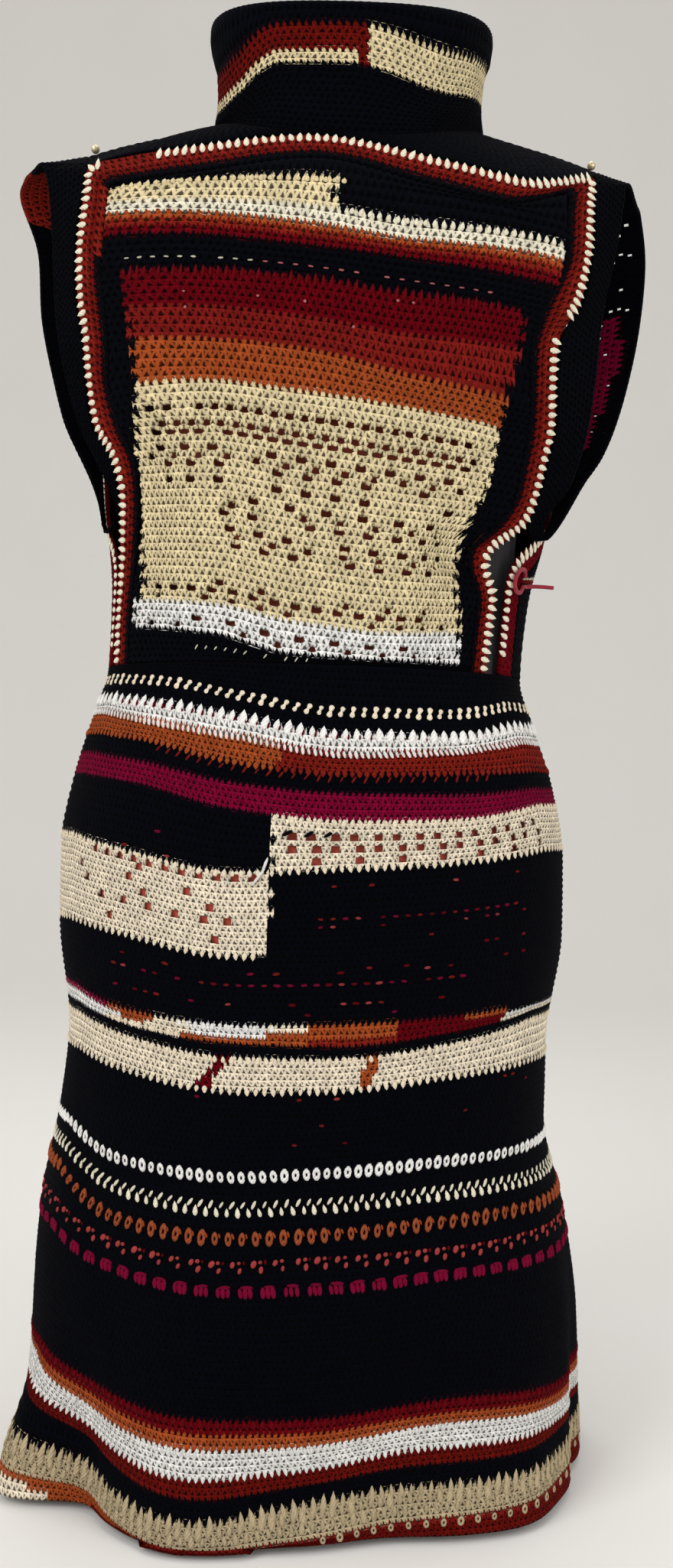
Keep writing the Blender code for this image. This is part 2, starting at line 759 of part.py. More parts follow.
def form_rings():
    """Rings of the torso as lists of points, from its underside to the top of its neck."""
    rings = []
    hips = [h for h in SKIRT_HEIGHTS if h > FORM_BOTTOM]
    turns = [360.0 * k / FORM_STEPS for k in range(FORM_STEPS)]

    def from_coat(height, shrink=0.0):
        ring = []
        for turn in turns:
            angle = turn if turn <= 180.0 else turn - 360.0
            point = body_point(angle, height)
            inward = CLOTH + form_ease(height) + shrink
            ring.append(point - body_normal(angle, height) * inward)
            ring[-1].z = height
        return ring

    rings.append(from_coat(FORM_BOTTOM, 0.014))
    rings.append(from_coat(FORM_BOTTOM + 0.004, 0.006))
    rings += [from_coat(height) for height in hips]
    ridge = []
    for half_width in FORM_RIDGE:
        side = min(ridge_height(half_width, -1), ridge_height(half_width, 1)) - CLOTH - 0.0006
        share = (0.181 - half_width) / (0.181 - 0.084)
        ridge.append(FormRing(side, blend(0.967, 0.999, share), blend(0.953, 0.975, share), half_width,
                              blend(0.070, 0.056, share), blend(0.067, 0.050, share)))
    for row in FORM_CHEST + ridge + FORM_NECK:
        heights = {"back": row.back, "side": row.side, "front": row.front}
        lean = LEAN * smooth((row.side - 0.70) / 0.30)
        ring = []
        for turn in turns:
            angle = turn if turn <= 180.0 else turn - 360.0
            depth = row.back_depth if abs(angle) <= 90.0 else row.front_depth
            way = radians(angle)
            ring.append(Vector((lean + row.half_width * power(sin(way), SQUARENESS),
                                -depth * power(cos(way), SQUARENESS), ring_height(heights, angle))))
        rings.append(ring)
    return rings


def form_torso(colour):
    bm = bmesh.new()
    rings = [[bm.verts.new(point) for point in ring] for ring in form_rings()]
    for lower, upper in zip(rings, rings[1:]):
        for j in range(FORM_STEPS):
            k = (j + 1) % FORM_STEPS
            bm.faces.new((lower[j], lower[k], upper[k], upper[j]))
    bm.faces.new(rings[0])
    bm.faces.new(rings[-1])
    return make_object("form_torso", bm, colour)


def turned(name, profile, centre, colour, roughness, metallic, steps=40):
    """A round piece from its outline of (radius, height), both ends on the axis."""
    bm = bmesh.new()
    chain = [bm.verts.new((centre.x + radius, centre.y, height)) for radius, height in profile]
    edges = [bm.edges.new(pair) for pair in zip(chain, chain[1:])]
    bmesh.ops.spin(bm, geom=chain + edges, cent=centre, axis=(0, 0, 1), angle=radians(360.0), steps=steps,
                   use_merge=True)
    bmesh.ops.remove_doubles(bm, verts=bm.verts, dist=1e-6)
    return make_object(name, bm, colour, roughness, metallic)


def stand():
    neck = FORM_NECK[-1]
    axis = Vector((0.0, 0.0, 0.0))
    cap_axis = Vector((LEAN, 0.5 * (neck.front_depth - neck.back_depth), 0.0))
    low = neck.side + SEAM
    high = low + CAP_THICK
    turned("form_neck_cap", [(0, low), (CAP_RADIUS - 0.002, low), (CAP_RADIUS, low + 0.002),
                             (CAP_RADIUS, high - 0.005), (CAP_RADIUS - 0.005, high), (0, high)],
           cap_axis, (0.05, 0.035, 0.03), 0.5, 0.0)
    turned("form_pole", [(0, HUB_TOP + SEAM), (POLE_RADIUS, HUB_TOP + SEAM),
                         (POLE_RADIUS, FORM_BOTTOM - SEAM), (0, FORM_BOTTOM - SEAM)],
           axis, (0.35, 0.35, 0.36), 0.35, 0.9, steps=24)
    turned("form_base", [(0, 0), (BASE_RADIUS - 0.002, 0), (BASE_RADIUS, 0.002),
                         (BASE_RADIUS, BASE_THICK - 0.004), (BASE_RADIUS - 0.004, BASE_THICK),
                         (HUB_RADIUS + 0.008, BASE_THICK + 0.002), (HUB_RADIUS, BASE_THICK + 0.008),
                         (HUB_RADIUS, HUB_TOP - 0.003), (HUB_RADIUS - 0.003, HUB_TOP), (0, HUB_TOP)],
           axis, (0.04, 0.04, 0.042), 0.5, 0.6)


# ---- The whole part ------------------------------------------------------------

def centre_on_origin():
    """Puts the middle of the part's bounding box over the origin."""
    bpy.context.view_layer.update()
    corners = [made.matrix_world @ Vector(corner)
               for made in bpy.data.objects for corner in made.bound_box]
    shift = Vector((-0.5 * (min(c.x for c in corners) + max(c.x for c in corners)),
                    -0.5 * (min(c.y for c in corners) + max(c.y for c in corners)), 0.0))
    for made in bpy.data.objects:
        made.location += shift


def main():
    for made in list(bpy.data.objects):
        bpy.data.objects.remove(made)
    navy = (0.010, 0.011, 0.018)
    tan = (0.72, 0.60, 0.38)
    rust = (0.20, 0.025, 0.012)
    crimson = (0.20, 0.004, 0.020)

    skirt_panel("skirt_back", -SIDE_SEAM, SIDE_SEAM, 36, navy)
    skirt_panel("skirt_front_left", -FRONT_OPENING, -SIDE_SEAM, 16, navy)
    skirt_panel("skirt_front_right", SIDE_SEAM, FRONT_OPENING, 16, navy)
    bodice_back(tan)
    back_edging(rust)
    for side in (-1, 1):
        bodice_front(side, navy)
        front_edging(side, rust)
        sleeve(side, navy)
        shoulder_pin(side, (0.5, 0.45, 0.4))
    yoke(navy)
    collar(navy)
    side_tie(crimson)
    form_torso((0.35, 0.07, 0.04))
    stand()
    centre_on_origin()


main()
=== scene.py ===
# A striped crochet coat on a limbless dress form, seen from behind.
# Metres, +Z up, the coat's back faces -Y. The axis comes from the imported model's base, and the
# tables of outlines repeat the ones that its solids were made from.
import math
import random
from bisect import bisect_right
from collections import namedtuple
from functools import lru_cache

import bmesh
import bpy
from mathutils import Matrix, Vector


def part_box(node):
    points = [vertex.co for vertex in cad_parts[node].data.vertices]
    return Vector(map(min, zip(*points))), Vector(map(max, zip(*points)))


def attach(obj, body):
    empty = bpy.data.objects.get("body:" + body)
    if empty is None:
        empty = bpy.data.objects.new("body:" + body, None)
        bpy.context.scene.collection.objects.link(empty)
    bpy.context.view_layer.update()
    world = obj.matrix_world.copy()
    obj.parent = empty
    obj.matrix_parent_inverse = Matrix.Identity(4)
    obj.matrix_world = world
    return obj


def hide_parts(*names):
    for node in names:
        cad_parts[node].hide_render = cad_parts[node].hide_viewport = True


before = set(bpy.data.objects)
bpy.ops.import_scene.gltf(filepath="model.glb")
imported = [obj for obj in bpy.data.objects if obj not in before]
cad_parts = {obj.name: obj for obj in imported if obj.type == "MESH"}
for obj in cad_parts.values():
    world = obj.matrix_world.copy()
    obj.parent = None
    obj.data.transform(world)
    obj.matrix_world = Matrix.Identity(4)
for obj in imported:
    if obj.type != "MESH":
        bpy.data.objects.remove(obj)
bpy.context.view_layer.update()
baseLow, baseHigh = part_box("form_base")
axis = Vector(((baseLow[0] + baseHigh[0]) / 2, (baseLow[1] + baseHigh[1]) / 2, 0.0))
hairs = random.Random(7)
sideName = {-1: "left", 1: "right"}
print("frame loaded")


def blend(a, b, share):
    return a + (b - a) * share


def clamp(value, low=0.0, high=1.0):
    return min(max(value, low), high)


def smooth(share):
    share = clamp(share)
    return share * share * (3.0 - 2.0 * share)


# a curve that runs smoothly through its points and is level past its ends
def smoothCurve(xs, ys):
    count = len(xs)
    steps = [(ys[k + 1] - ys[k]) / (xs[k + 1] - xs[k]) for k in range(count - 1)]
    slopes = [steps[0]]
    for k in range(1, count - 1):
        turns = steps[k - 1] * steps[k] <= 0.0
        slopes.append(0.0 if turns else 2.0 * steps[k - 1] * steps[k] / (steps[k - 1] + steps[k]))
    slopes.append(steps[-1])

    def at(x):
        if x <= xs[0]:
            return ys[0]
        if x >= xs[-1]:
            return ys[-1]
        i = bisect_right(xs, x) - 1
        span = xs[i + 1] - xs[i]
        t = (x - xs[i]) / span
        return (ys[i] * (1 + 2 * t) * (1 - t) ** 2 + ys[i + 1] * t * t * (3 - 2 * t)
                + span * (slopes[i] * t * (1 - t) ** 2 + slopes[i + 1] * t * t * (t - 1)))

    return at


# one smooth curve for each column of a table, over its first column
def curvesOf(table):
    xs = [row[0] for row in table]
    return {name: smoothCurve(xs, [getattr(row, name) for row in table]) for name in table[0]._fields[1:]}


def power(value, exponent):
    return math.copysign(abs(value) ** exponent, value)


# The coat's body: a place is an angle round it, 0 at the middle of the back, and a height.
coat = {"cloth": 0.0030, "seam": 0.0003, "hem": 0.006, "waist": 0.605, "squareness": 0.92,
        "sideSeam": 92.0, "opening": 179.0, "lean": 0.011}

Section = namedtuple("Section", "height left right back front")
body = curvesOf([
    Section(0.006, 0.211, 0.222, 0.156, 0.146), Section(0.060, 0.209, 0.219, 0.152, 0.142),
    Section(0.120, 0.207, 0.216, 0.149, 0.136), Section(0.200, 0.202, 0.203, 0.144, 0.128),
    Section(0.270, 0.190, 0.186, 0.140, 0.122), Section(0.330, 0.185, 0.186, 0.138, 0.120),
    Section(0.410, 0.195, 0.196, 0.137, 0.120), Section(0.470, 0.196, 0.195, 0.134, 0.118),
    Section(0.520, 0.188, 0.186, 0.124, 0.112), Section(0.570, 0.174, 0.169, 0.112, 0.104),
    Section(0.605, 0.164, 0.158, 0.104, 0.100), Section(0.660, 0.163, 0.162, 0.100, 0.105),
    Section(0.710, 0.168, 0.173, 0.100, 0.116), Section(0.760, 0.180, 0.186, 0.106, 0.127),
    Section(0.820, 0.200, 0.206, 0.113, 0.131), Section(0.880, 0.212, 0.217, 0.116, 0.123),
    Section(0.930, 0.218, 0.223, 0.111, 0.107), Section(0.970, 0.220, 0.225, 0.097, 0.090),
    Section(1.010, 0.218, 0.222, 0.070, 0.068)])

# soft folds of the skirt, deepest at the hem and gone at their top height
Fold = namedtuple("Fold", "angle halfWidth depth top")
folds = [Fold(-60, 9, 0.0300, 0.120), Fold(-44, 7, -0.0090, 0.150), Fold(-20, 13, 0.0130, 0.200),
         Fold(16, 12, -0.0100, 0.180), Fold(46, 11, 0.0080, 0.160), Fold(76, 6, -0.0080, 0.230),
         Fold(-84, 8, -0.0060, 0.170), Fold(104, 11, 0.0100, 0.200), Fold(128, 10, -0.0080, 0.170),
         Fold(152, 11, 0.0110, 0.220), Fold(-112, 12, 0.0120, 0.210), Fold(-138, 10, -0.0090, 0.160),
         Fold(-158, 9, 0.0080, 0.200)]

# small creases of the worn cloth: a soft line from one place to another, below 0 a trough
Crease = namedtuple("Crease", "angle height toAngle toHeight halfWidth depth")
creases = [
    Crease(-70, 0.560, -30, 0.530, 0.012, -0.0016), Crease(-20, 0.596, 8, 0.560, 0.014, -0.0014),
    Crease(66, 0.585, 34, 0.548, 0.011, -0.0016), Crease(74, 0.500, 44, 0.470, 0.016, 0.0012),
    Crease(-66, 0.330, -26, 0.316, 0.013, -0.0016), Crease(70, 0.352, 34, 0.330, 0.012, -0.0016),
    Crease(-12, 0.420, 4, 0.330, 0.020, 0.0010), Crease(28, 0.280, 52, 0.200, 0.018, -0.0018),
    Crease(-54, 0.250, -34, 0.150, 0.018, -0.0020), Crease(-6, 0.160, 2, 0.060, 0.020, 0.0012),
    Crease(120, 0.560, 150, 0.500, 0.014, -0.0016), Crease(-120, 0.570, -146, 0.520, 0.014, -0.0016),
    Crease(106, 0.360, 140, 0.330, 0.015, -0.0015), Crease(-104, 0.340, -140, 0.310, 0.015, -0.0015),
    Crease(134, 0.250, 124, 0.120, 0.020, -0.0018), Crease(-128, 0.240, -120, 0.110, 0.020, -0.0018),
    Crease(30, 0.640, 44, 0.720, 0.012, -0.0018), Crease(-48, 0.640, -56, 0.740, 0.012, -0.0018),
    Crease(36, 0.700, 6, 0.740, 0.014, -0.0012), Crease(-40, 0.880, -14, 0.850, 0.016, 0.0010),
    Crease(120, 0.640, 140, 0.700, 0.014, -0.0016), Crease(-118, 0.650, -138, 0.720, 0.014, -0.0016)]
metresPerDegree = 0.0031       # near enough for the creases


def creasePush(angle, height):
    push = 0.0
    for crease in creases:
        x, z = (angle - crease.angle) * metresPerDegree, height - crease.height
        dx, dz = (crease.toAngle - crease.angle) * metresPerDegree, crease.toHeight - crease.height
        share = (x * dx + z * dz) / (dx * dx + dz * dz)
        if -0.3 < share < 1.3:
            gap = abs(x * dz - z * dx) / math.hypot(dx, dz)
            if gap < 3 * crease.halfWidth:
                ends = smooth((share + 0.3) / 0.5) * smooth((1.3 - share) / 0.5)
                push += crease.depth * ends * math.exp(-(gap / crease.halfWidth) ** 2)
    return push


def foldPush(angle, height):
    push = 0.0
    for fold in folds:
        if height < fold.top:
            turn = (angle - fold.angle + 180.0) % 360.0 - 180.0
            grow = smooth((fold.top - height) / (fold.top - coat["hem"]))
            push += fold.depth * grow * math.exp(-(turn / fold.halfWidth) ** 2)
    return push


def bodyPoint(angle, height, push=0.0):
    turn = math.radians(angle)
    across, out = math.sin(turn), math.cos(turn)
    side = body["right" if across >= 0 else "left"](height)
    depth = body["back" if out >= 0 else "front"](height)
    push += foldPush(angle, height)
    return Vector((side * power(across, coat["squareness"]) + push * across,
                   -depth * power(out, coat["squareness"]) - push * out, height))


def bodyNormal(angle, height):
    roundWay = bodyPoint(angle + 0.5, height) - bodyPoint(angle - 0.5, height)
    upWay = bodyPoint(angle, height + 0.002) - bodyPoint(angle, height - 0.002)
    return roundWay.cross(upWay).normalized()


def degreeLength(angle, height):
    return (bodyPoint(angle + 1, height) - bodyPoint(angle - 1, height)).length / 2


def seamTurn(angle, height):
    return math.degrees(coat["seam"] / 2 / bodyPoint(angle, height).to_2d().length)


def backAngle(across, height):
    side = body["right" if across >= 0 else "left"](height)
    turn = math.asin(min(abs(across) / side, 1.0) ** (1 / coat["squareness"]))
    return math.copysign(math.degrees(turn), across)


# outlines of the bodice, its edgings, the sleeves' mouths, the yoke and the collar
BackEdge = namedtuple("BackEdge", "height left right leftBand rightBand")
backTable = [
    BackEdge(0.605, 0.155, 0.125, 0.014, 0.014), BackEdge(0.640, 0.155, 0.129, 0.014, 0.015),
    BackEdge(0.665, 0.154, 0.131, 0.015, 0.016), BackEdge(0.686, 0.153, 0.124, 0.016, 0.018),
    BackEdge(0.702, 0.153, 0.133, 0.017, 0.019), BackEdge(0.722, 0.153, 0.157, 0.018, 0.020),
    BackEdge(0.745, 0.155, 0.164, 0.019, 0.021), BackEdge(0.770, 0.166, 0.169, 0.021, 0.022),
    BackEdge(0.795, 0.180, 0.173, 0.022, 0.023), BackEdge(0.830, 0.182, 0.171, 0.023, 0.024),
    BackEdge(0.862, 0.186, 0.175, 0.024, 0.024), BackEdge(0.890, 0.191, 0.193, 0.024, 0.024),
    BackEdge(0.930, 0.189, 0.197, 0.024, 0.024), BackEdge(0.970, 0.183, 0.198, 0.024, 0.024)]
backCurves = curvesOf(backTable)
backTop = smoothCurve([-0.182, -0.107, -0.013, 0.078, 0.144, 0.198],
                      [0.977, 0.981, 0.992, 0.974, 0.966, 0.984])
frontReach = 0.190             # how far out the front's top edge runs
frontTopCurve = smoothCurve([0.0, 0.060, 0.120, frontReach], [0.962, 0.970, 0.972, 0.980])

FrontEdge = namedtuple("FrontEdge", "height left right opening")
frontTable = [
    FrontEdge(0.605, 73.5, 57.0, 0.605), FrontEdge(0.645, 72.5, 57.5, 0.645),
    FrontEdge(0.676, 70.5, 57.0, 0.684), FrontEdge(0.694, 72.0, 60.0, 0.720),
    FrontEdge(0.708, 79.0, 69.0, 0.755), FrontEdge(0.724, 87.0, 80.0, 0.785),
    FrontEdge(0.748, 95.0, 92.0, 0.815), FrontEdge(0.782, 104.0, 103.0, 0.845),
    FrontEdge(0.828, 112.0, 112.0, 0.875), FrontEdge(0.880, 117.0, 117.0, 0.905),
    FrontEdge(0.935, 119.0, 119.0, 0.935)]

Mouth = namedtuple("Mouth", "height leftBack leftFront rightBack rightFront")
mouths = curvesOf([
    Mouth(0.715, 0.168, 0.180, 0.177, 0.186), Mouth(0.745, 0.174, 0.190, 0.187, 0.200),
    Mouth(0.770, 0.184, 0.200, 0.194, 0.210), Mouth(0.795, 0.193, 0.210, 0.201, 0.226),
    Mouth(0.830, 0.201, 0.221, 0.205, 0.239), Mouth(0.870, 0.209, 0.232, 0.207, 0.249),
    Mouth(0.910, 0.212, 0.239, 0.214, 0.254), Mouth(0.950, 0.214, 0.240, 0.221, 0.256),
    Mouth(0.990, 0.224, 0.256, 0.226, 0.250)])
mouth = {"middle": 0.004, "close": 0.38, "underarm": 0.700, "low": {-1: 0.706, 1: 0.716}, "high": 0.996,
         "shoulder": 0.985, "seamTop": 0.972, "gap": 0.0005}
tip = {"across": {-1: 0.190, 1: 0.204}, "height": 1.001, "bulge": 0.0025, "turn": 76.0}

CollarRing = namedtuple("CollarRing", "share halfWidth back front")
collarCurves = curvesOf([
    CollarRing(0.00, 0.1060, 0.0730, 0.066), CollarRing(0.30, 0.1035, 0.0725, 0.066),
    CollarRing(0.60, 0.1050, 0.0760, 0.069), CollarRing(0.85, 0.1105, 0.0820, 0.074),
    CollarRing(1.00, 0.1110, 0.0850, 0.077)])
neckline = {"back": 0.9965, "side": 1.028, "front": 0.975}
rim = {"back": 1.088, "side": 1.107, "front": 1.098}


def backEdge(side, height):
    return side * backCurves[sideName[side]](height)


def backBand(side, height):
    return backCurves[sideName[side] + "Band"](height)


def backCorner(side):
    height = 0.98
    for _ in range(4):
        height = backTop(backEdge(side, height))
    return backEdge(side, height), height


def backSpot(across, height):
    return backAngle(across, height), height


def frontCorner(side):
    height = frontTopCurve(frontReach)
    if side > 0:
        return side * (180.0 - backAngle(frontReach, height)), height
    return side * (180.0 + backAngle(-frontReach, height)), height


def frontTop(angle, height):
    return frontTopCurve(abs(bodyPoint(angle, height).x))


def frontEdgePath(side):
    path = [(side * getattr(row, sideName[side]), row.height) for row in frontTable]
    path[0] = (path[0][0], coat["waist"] + coat["seam"] / 2)
    path.append(frontCorner(side))
    return path


def insetPath(path, width):
    moved = []
    for i, (angle, height) in enumerate(path):
        before, after = bodyPoint(*path[max(i - 1, 0)]), bodyPoint(*path[min(i + 1, len(path) - 1)])
        side = 1 if angle > 0 else -1
        inward = (after - before).cross(bodyNormal(angle, height)).normalized() * side
        roundWay = (bodyPoint(angle + 1, height) - bodyPoint(angle - 1, height)).normalized()
        turn, drop = inward.dot(roundWay) * width / degreeLength(angle, height), inward.z * width
        if i in (0, len(path) - 1):
            turn, drop = side * width / degreeLength(angle, height), 0.0
        moved.append((angle + turn, height + drop))
    moved[-1] = (moved[-1][0], frontTop(*moved[-1]))
    return moved


def ringHeight(sizes, angle):
    end = sizes["back"] if abs(angle) <= 90.0 else sizes["front"]
    return blend(sizes["side"], end, math.cos(math.radians(angle)) ** 2)


def collarPoint(angle, share):
    turn = math.radians(angle)
    halfWidth = collarCurves["halfWidth"](share)
    depth = collarCurves["back" if abs(angle) <= 90.0 else "front"](share)
    return Vector((coat["lean"] + halfWidth * math.sin(turn), -depth * math.cos(turn),
                   blend(ringHeight(neckline, angle), ringHeight(rim, angle), share)))


def neckMitre(angle):
    turn = math.radians(angle)
    outward, rise = Vector((math.sin(turn), -math.cos(turn), 0.0)), Vector((0.0, 0.0, 1.0))
    return (outward + rise).normalized(), (outward - rise).normalized()


def tipPoint(side, share):
    back, front = bodyPoint(*backSpot(*backCorner(side))), bodyPoint(*frontCorner(side))
    middle = Vector((side * tip["across"][side], 0.5 * (back.y + front.y), tip["height"]))
    q = 2 * share - 1
    return middle * (1 - q * q) + back * (q * q - q) / 2 + front * (q * q + q) / 2


backStations, tipStations, frontSteps, frontBand = 8, 4, 12, 0.020


# collar angle, point, normal of the cut and way of the gap, from the nape to the opening
def yokeOutline(side):
    corner, _ = backCorner(side)
    up = Vector((0, 0, 1))
    rows = []
    for k in range(backStations):
        across = corner * k / backStations
        spot = backSpot(across, backTop(across))
        rows.append((side * tip["turn"] * k / backStations, bodyPoint(*spot), bodyNormal(*spot), up))
    for k in range(tipStations + 1):
        share = k / tipStations
        angle, way = side * blend(tip["turn"], 180 - tip["turn"], share), up
        if k == 0:
            cut = bodyNormal(*backSpot(*backCorner(side)))
        elif k == tipStations:
            cut = bodyNormal(*frontCorner(side))
        else:
            cut, way = Vector((0.25 * side, 0.9 * (2 * share - 1), 1)).normalized(), Vector((-side, 0, 0))
        rows.append((angle, tipPoint(side, share), cut, way))
    angle, height = frontCorner(side)
    inset = side * frontBand / degreeLength(angle, height)
    turns = [blend(angle + inset, side * coat["opening"], j / frontSteps) for j in range(frontSteps + 1)]
    for k, turn in enumerate(turns):
        spot = (turn, frontTop(turn, height))
        collarAngle = side * blend(180 - tip["turn"], coat["opening"] - 2, (k + 1) / len(turns))
        rows.append((collarAngle, bodyPoint(*spot), bodyNormal(*spot), up))
    return rows


def yokeSpot(station, share):
    angle, edge, cut, way = station
    neckCut, neckWay = neckMitre(angle)
    neck = collarPoint(angle, 0.0) + coat["seam"] * neckWay
    face = neckCut.lerp(cut, share).normalized()
    return neck.lerp(edge + coat["seam"] * way, share) + face * tip["bulge"] * 4 * share * (1 - share)


def mouthPoint(side, height, front, seam):
    name = sideName[side]
    reach = blend(mouths[name + "Back"](height), mouths[name + "Front"](height), front)
    return Vector((side * reach, blend(seam.y, mouth["middle"], mouth["close"]), height))


edgeShare = 0.94               # the share of an edge's height that its table covers


def edgeHeights(low, high):
    last = backTable[-1].height
    return [blend(low, high, edgeShare * (row.height - coat["waist"]) / (last - coat["waist"]))
            for row in backTable]


# seam and mouth points round one armhole: down the back, up the front and over the tip
def armholeLoop(side):
    over = []
    for k, (_, point, _, _) in enumerate(yokeOutline(side)[backStations:backStations + tipStations + 1]):
        share = k / tipStations
        height = blend(mouth["shoulder"], mouth["high"], 1 - (2 * share - 1) ** 2)
        over.append((point + Vector((side * mouth["gap"], 0, 0)), mouthPoint(side, height, share, point)))
    topFront = over.pop()
    _, top = backCorner(side)
    heights = edgeHeights(coat["waist"], top)
    run = [(backSpot(backEdge(side, h), h), 0.0) for h in reversed(heights) if h > mouth["underarm"]]
    run += [(spot, 1.0) for spot in frontEdgePath(side)[:-1] if spot[1] > mouth["underarm"]]
    lowest = min(spot[1] for spot, half in run if half > 0.5)
    tail = []
    for i, (spot, half) in enumerate(run):
        rise = max(0.0, spot[1] - lowest) / (mouth["seamTop"] - lowest)
        height = min(blend(mouth["low"][side], mouth["shoulder"], rise), mouth["shoulder"])
        before, after = bodyPoint(*run[max(i - 1, 0)][0]), bodyPoint(*run[min(i + 1, len(run) - 1)][0])
        way = (after - before).cross(bodyNormal(*spot)).normalized() * -side
        tail.append((bodyPoint(*spot) + mouth["gap"] * way, mouthPoint(side, height, half, bodyPoint(*spot))))
    return [over[0]] + tail + [topFront] + list(reversed(over[1:]))


# a smooth line through points, at a place counted in points
def through(points, place, closed=False):
    count = len(points)
    k = int(math.floor(place))
    if not closed:
        k = min(max(k, 0), count - 2)
    t = place - k

    def pick(n):
        return points[n % count] if closed else points[min(max(n, 0), count - 1)]

    a, b, c, d = pick(k - 1), pick(k), pick(k + 1), pick(k + 2)
    return 0.5 * (2 * b + (c - a) * t + (2 * a - 5 * b + 4 * c - d) * t * t
                  + (3 * b - a - 3 * c + d) * t ** 3)


# evenly spaced places along a line of points, counted in points
def evenPlaces(points, count, closed=False):
    fine = 8
    total = (len(points) if closed else len(points) - 1) * fine
    spots = [through(points, n / fine, closed) for n in range(total + 1)]
    lengths = [0.0]
    for a, b in zip(spots, spots[1:]):
        lengths.append(lengths[-1] + (b - a).length)
    places = []
    for n in range(count + 1):
        want = lengths[-1] * n / count
        k = min(bisect_right(lengths, want) - 1, total - 1)
        span = lengths[k + 1] - lengths[k]
        places.append((k + (want - lengths[k]) / span) / fine)
    return places, lengths[-1]


def linear(red, green, blue):
    return [((c / 255 + 0.055) / 1.055) ** 2.4 if c > 10 else c / 255 / 12.92 for c in (red, green, blue)]


# the darker tan of the hem rows is painted shade: the same tan yarn, darker where the light falls off towards
# the bottom
yarns = {name: linear(*colour) for name, colour in {
    "navy": (3, 4, 11), "tan": (236, 217, 172), "sand": (190, 172, 138), "cream": (248, 233, 207),
    "ivory": (244, 236, 212), "white": (246, 244, 240), "orange": (166, 76, 36), "rust": (128, 30, 20),
    "brick": (124, 26, 22), "crimson": (100, 2, 14), "magenta": (124, 4, 48), "pink": (212, 120, 124),
    "blush": (170, 66, 64), "russet": (104, 16, 10), "copper": (156, 78, 46)}.items()}


# a value in a material's tree that can be reckoned with
class Wire:
    def __init__(self, finish, socket):
        self.finish, self.socket = finish, socket

    def sum(self, operation, *others):
        node = self.finish.add("ShaderNodeMath", {"operation": operation},
                               dict(enumerate((self,) + others)))
        return Wire(self.finish, node.outputs[0])

    def __add__(self, other):
        return self.sum("ADD", other)

    def __mul__(self, other):
        return self.sum("MULTIPLY", other)

    def __sub__(self, other):
        return self.sum("SUBTRACT", other)

    def __rsub__(self, other):
        return (self * -1.0) + other


class Finish:
    def __init__(self, name, roughness=0.9, **shaderValues):
        self.material = bpy.data.materials.new(name)
        self.material.use_nodes = True
        self.tree = self.material.node_tree
        self.shader = self.tree.nodes["Principled BSDF"]
        self.shader.inputs["Roughness"].default_value = roughness
        for socket, value in shaderValues.items():
            self.shader.inputs[socket.replace("_", " ")].default_value = value

    def add(self, kind, settings=None, sockets=None):
        node = self.tree.nodes.new(kind)
        for key, value in (settings or {}).items():
            setattr(node, key, value)
        for key, value in (sockets or {}).items():
            if isinstance(value, Wire):
                value = value.socket
            if isinstance(value, bpy.types.NodeSocket):
                self.tree.links.new(value, node.inputs[key])
            elif isinstance(value, (list, tuple)) and node.inputs[key].type == "RGBA":
                node.inputs[key].default_value = (*value[:3], 1.0)
            else:
                node.inputs[key].default_value = value
        return node

    def value(self, node):
        return Wire(self, node.outputs[0])

    def axes(self, vector):
        node = self.add("ShaderNodeSeparateXYZ", None, {0: vector})
        return [Wire(self, socket) for socket in node.outputs]

    def place(self):
        return self.add("ShaderNodeTexCoord").outputs["Object"]

    def stretched(self, *scale):
        return self.add("ShaderNodeMapping", None, {"Vector": self.place(), "Scale": scale}).outputs[0]

    def noise(self, scale, vector=None, detail=3.0):
        return self.value(self.add("ShaderNodeTexNoise", None, {
            "Vector": vector or self.place(), "Scale": scale, "Detail": detail, "Roughness": 0.55}))

    def range(self, wire, low, high, toLow=0.0, toHigh=1.0):
        return self.value(self.add("ShaderNodeMapRange", {"interpolation_type": "SMOOTHSTEP"}, {
            "Value": wire, "From Min": low, "From Max": high, "To Min": toLow, "To Max": toHigh}))

    def grey(self, shade):
        return self.add("ShaderNodeCombineColor", None, {0: shade, 1: shade, 2: shade}).outputs[0]

    def mix(self, share, first, second, way="MIX"):
        node = self.add("ShaderNodeMix", {"data_type": "RGBA", "blend_type": way, "clamp_factor": True},
                        {0: share, 6: first, 7: second})
        return node.outputs[2]

    def feed(self, socket, wire):
        self.tree.links.new(wire.socket if isinstance(wire, Wire) else wire, self.shader.inputs[socket])

    def bump(self, height, distance):
        self.feed("Normal", self.add("ShaderNodeBump", None, {
            "Strength": 1.0, "Distance": distance, "Height": height}).outputs[0])


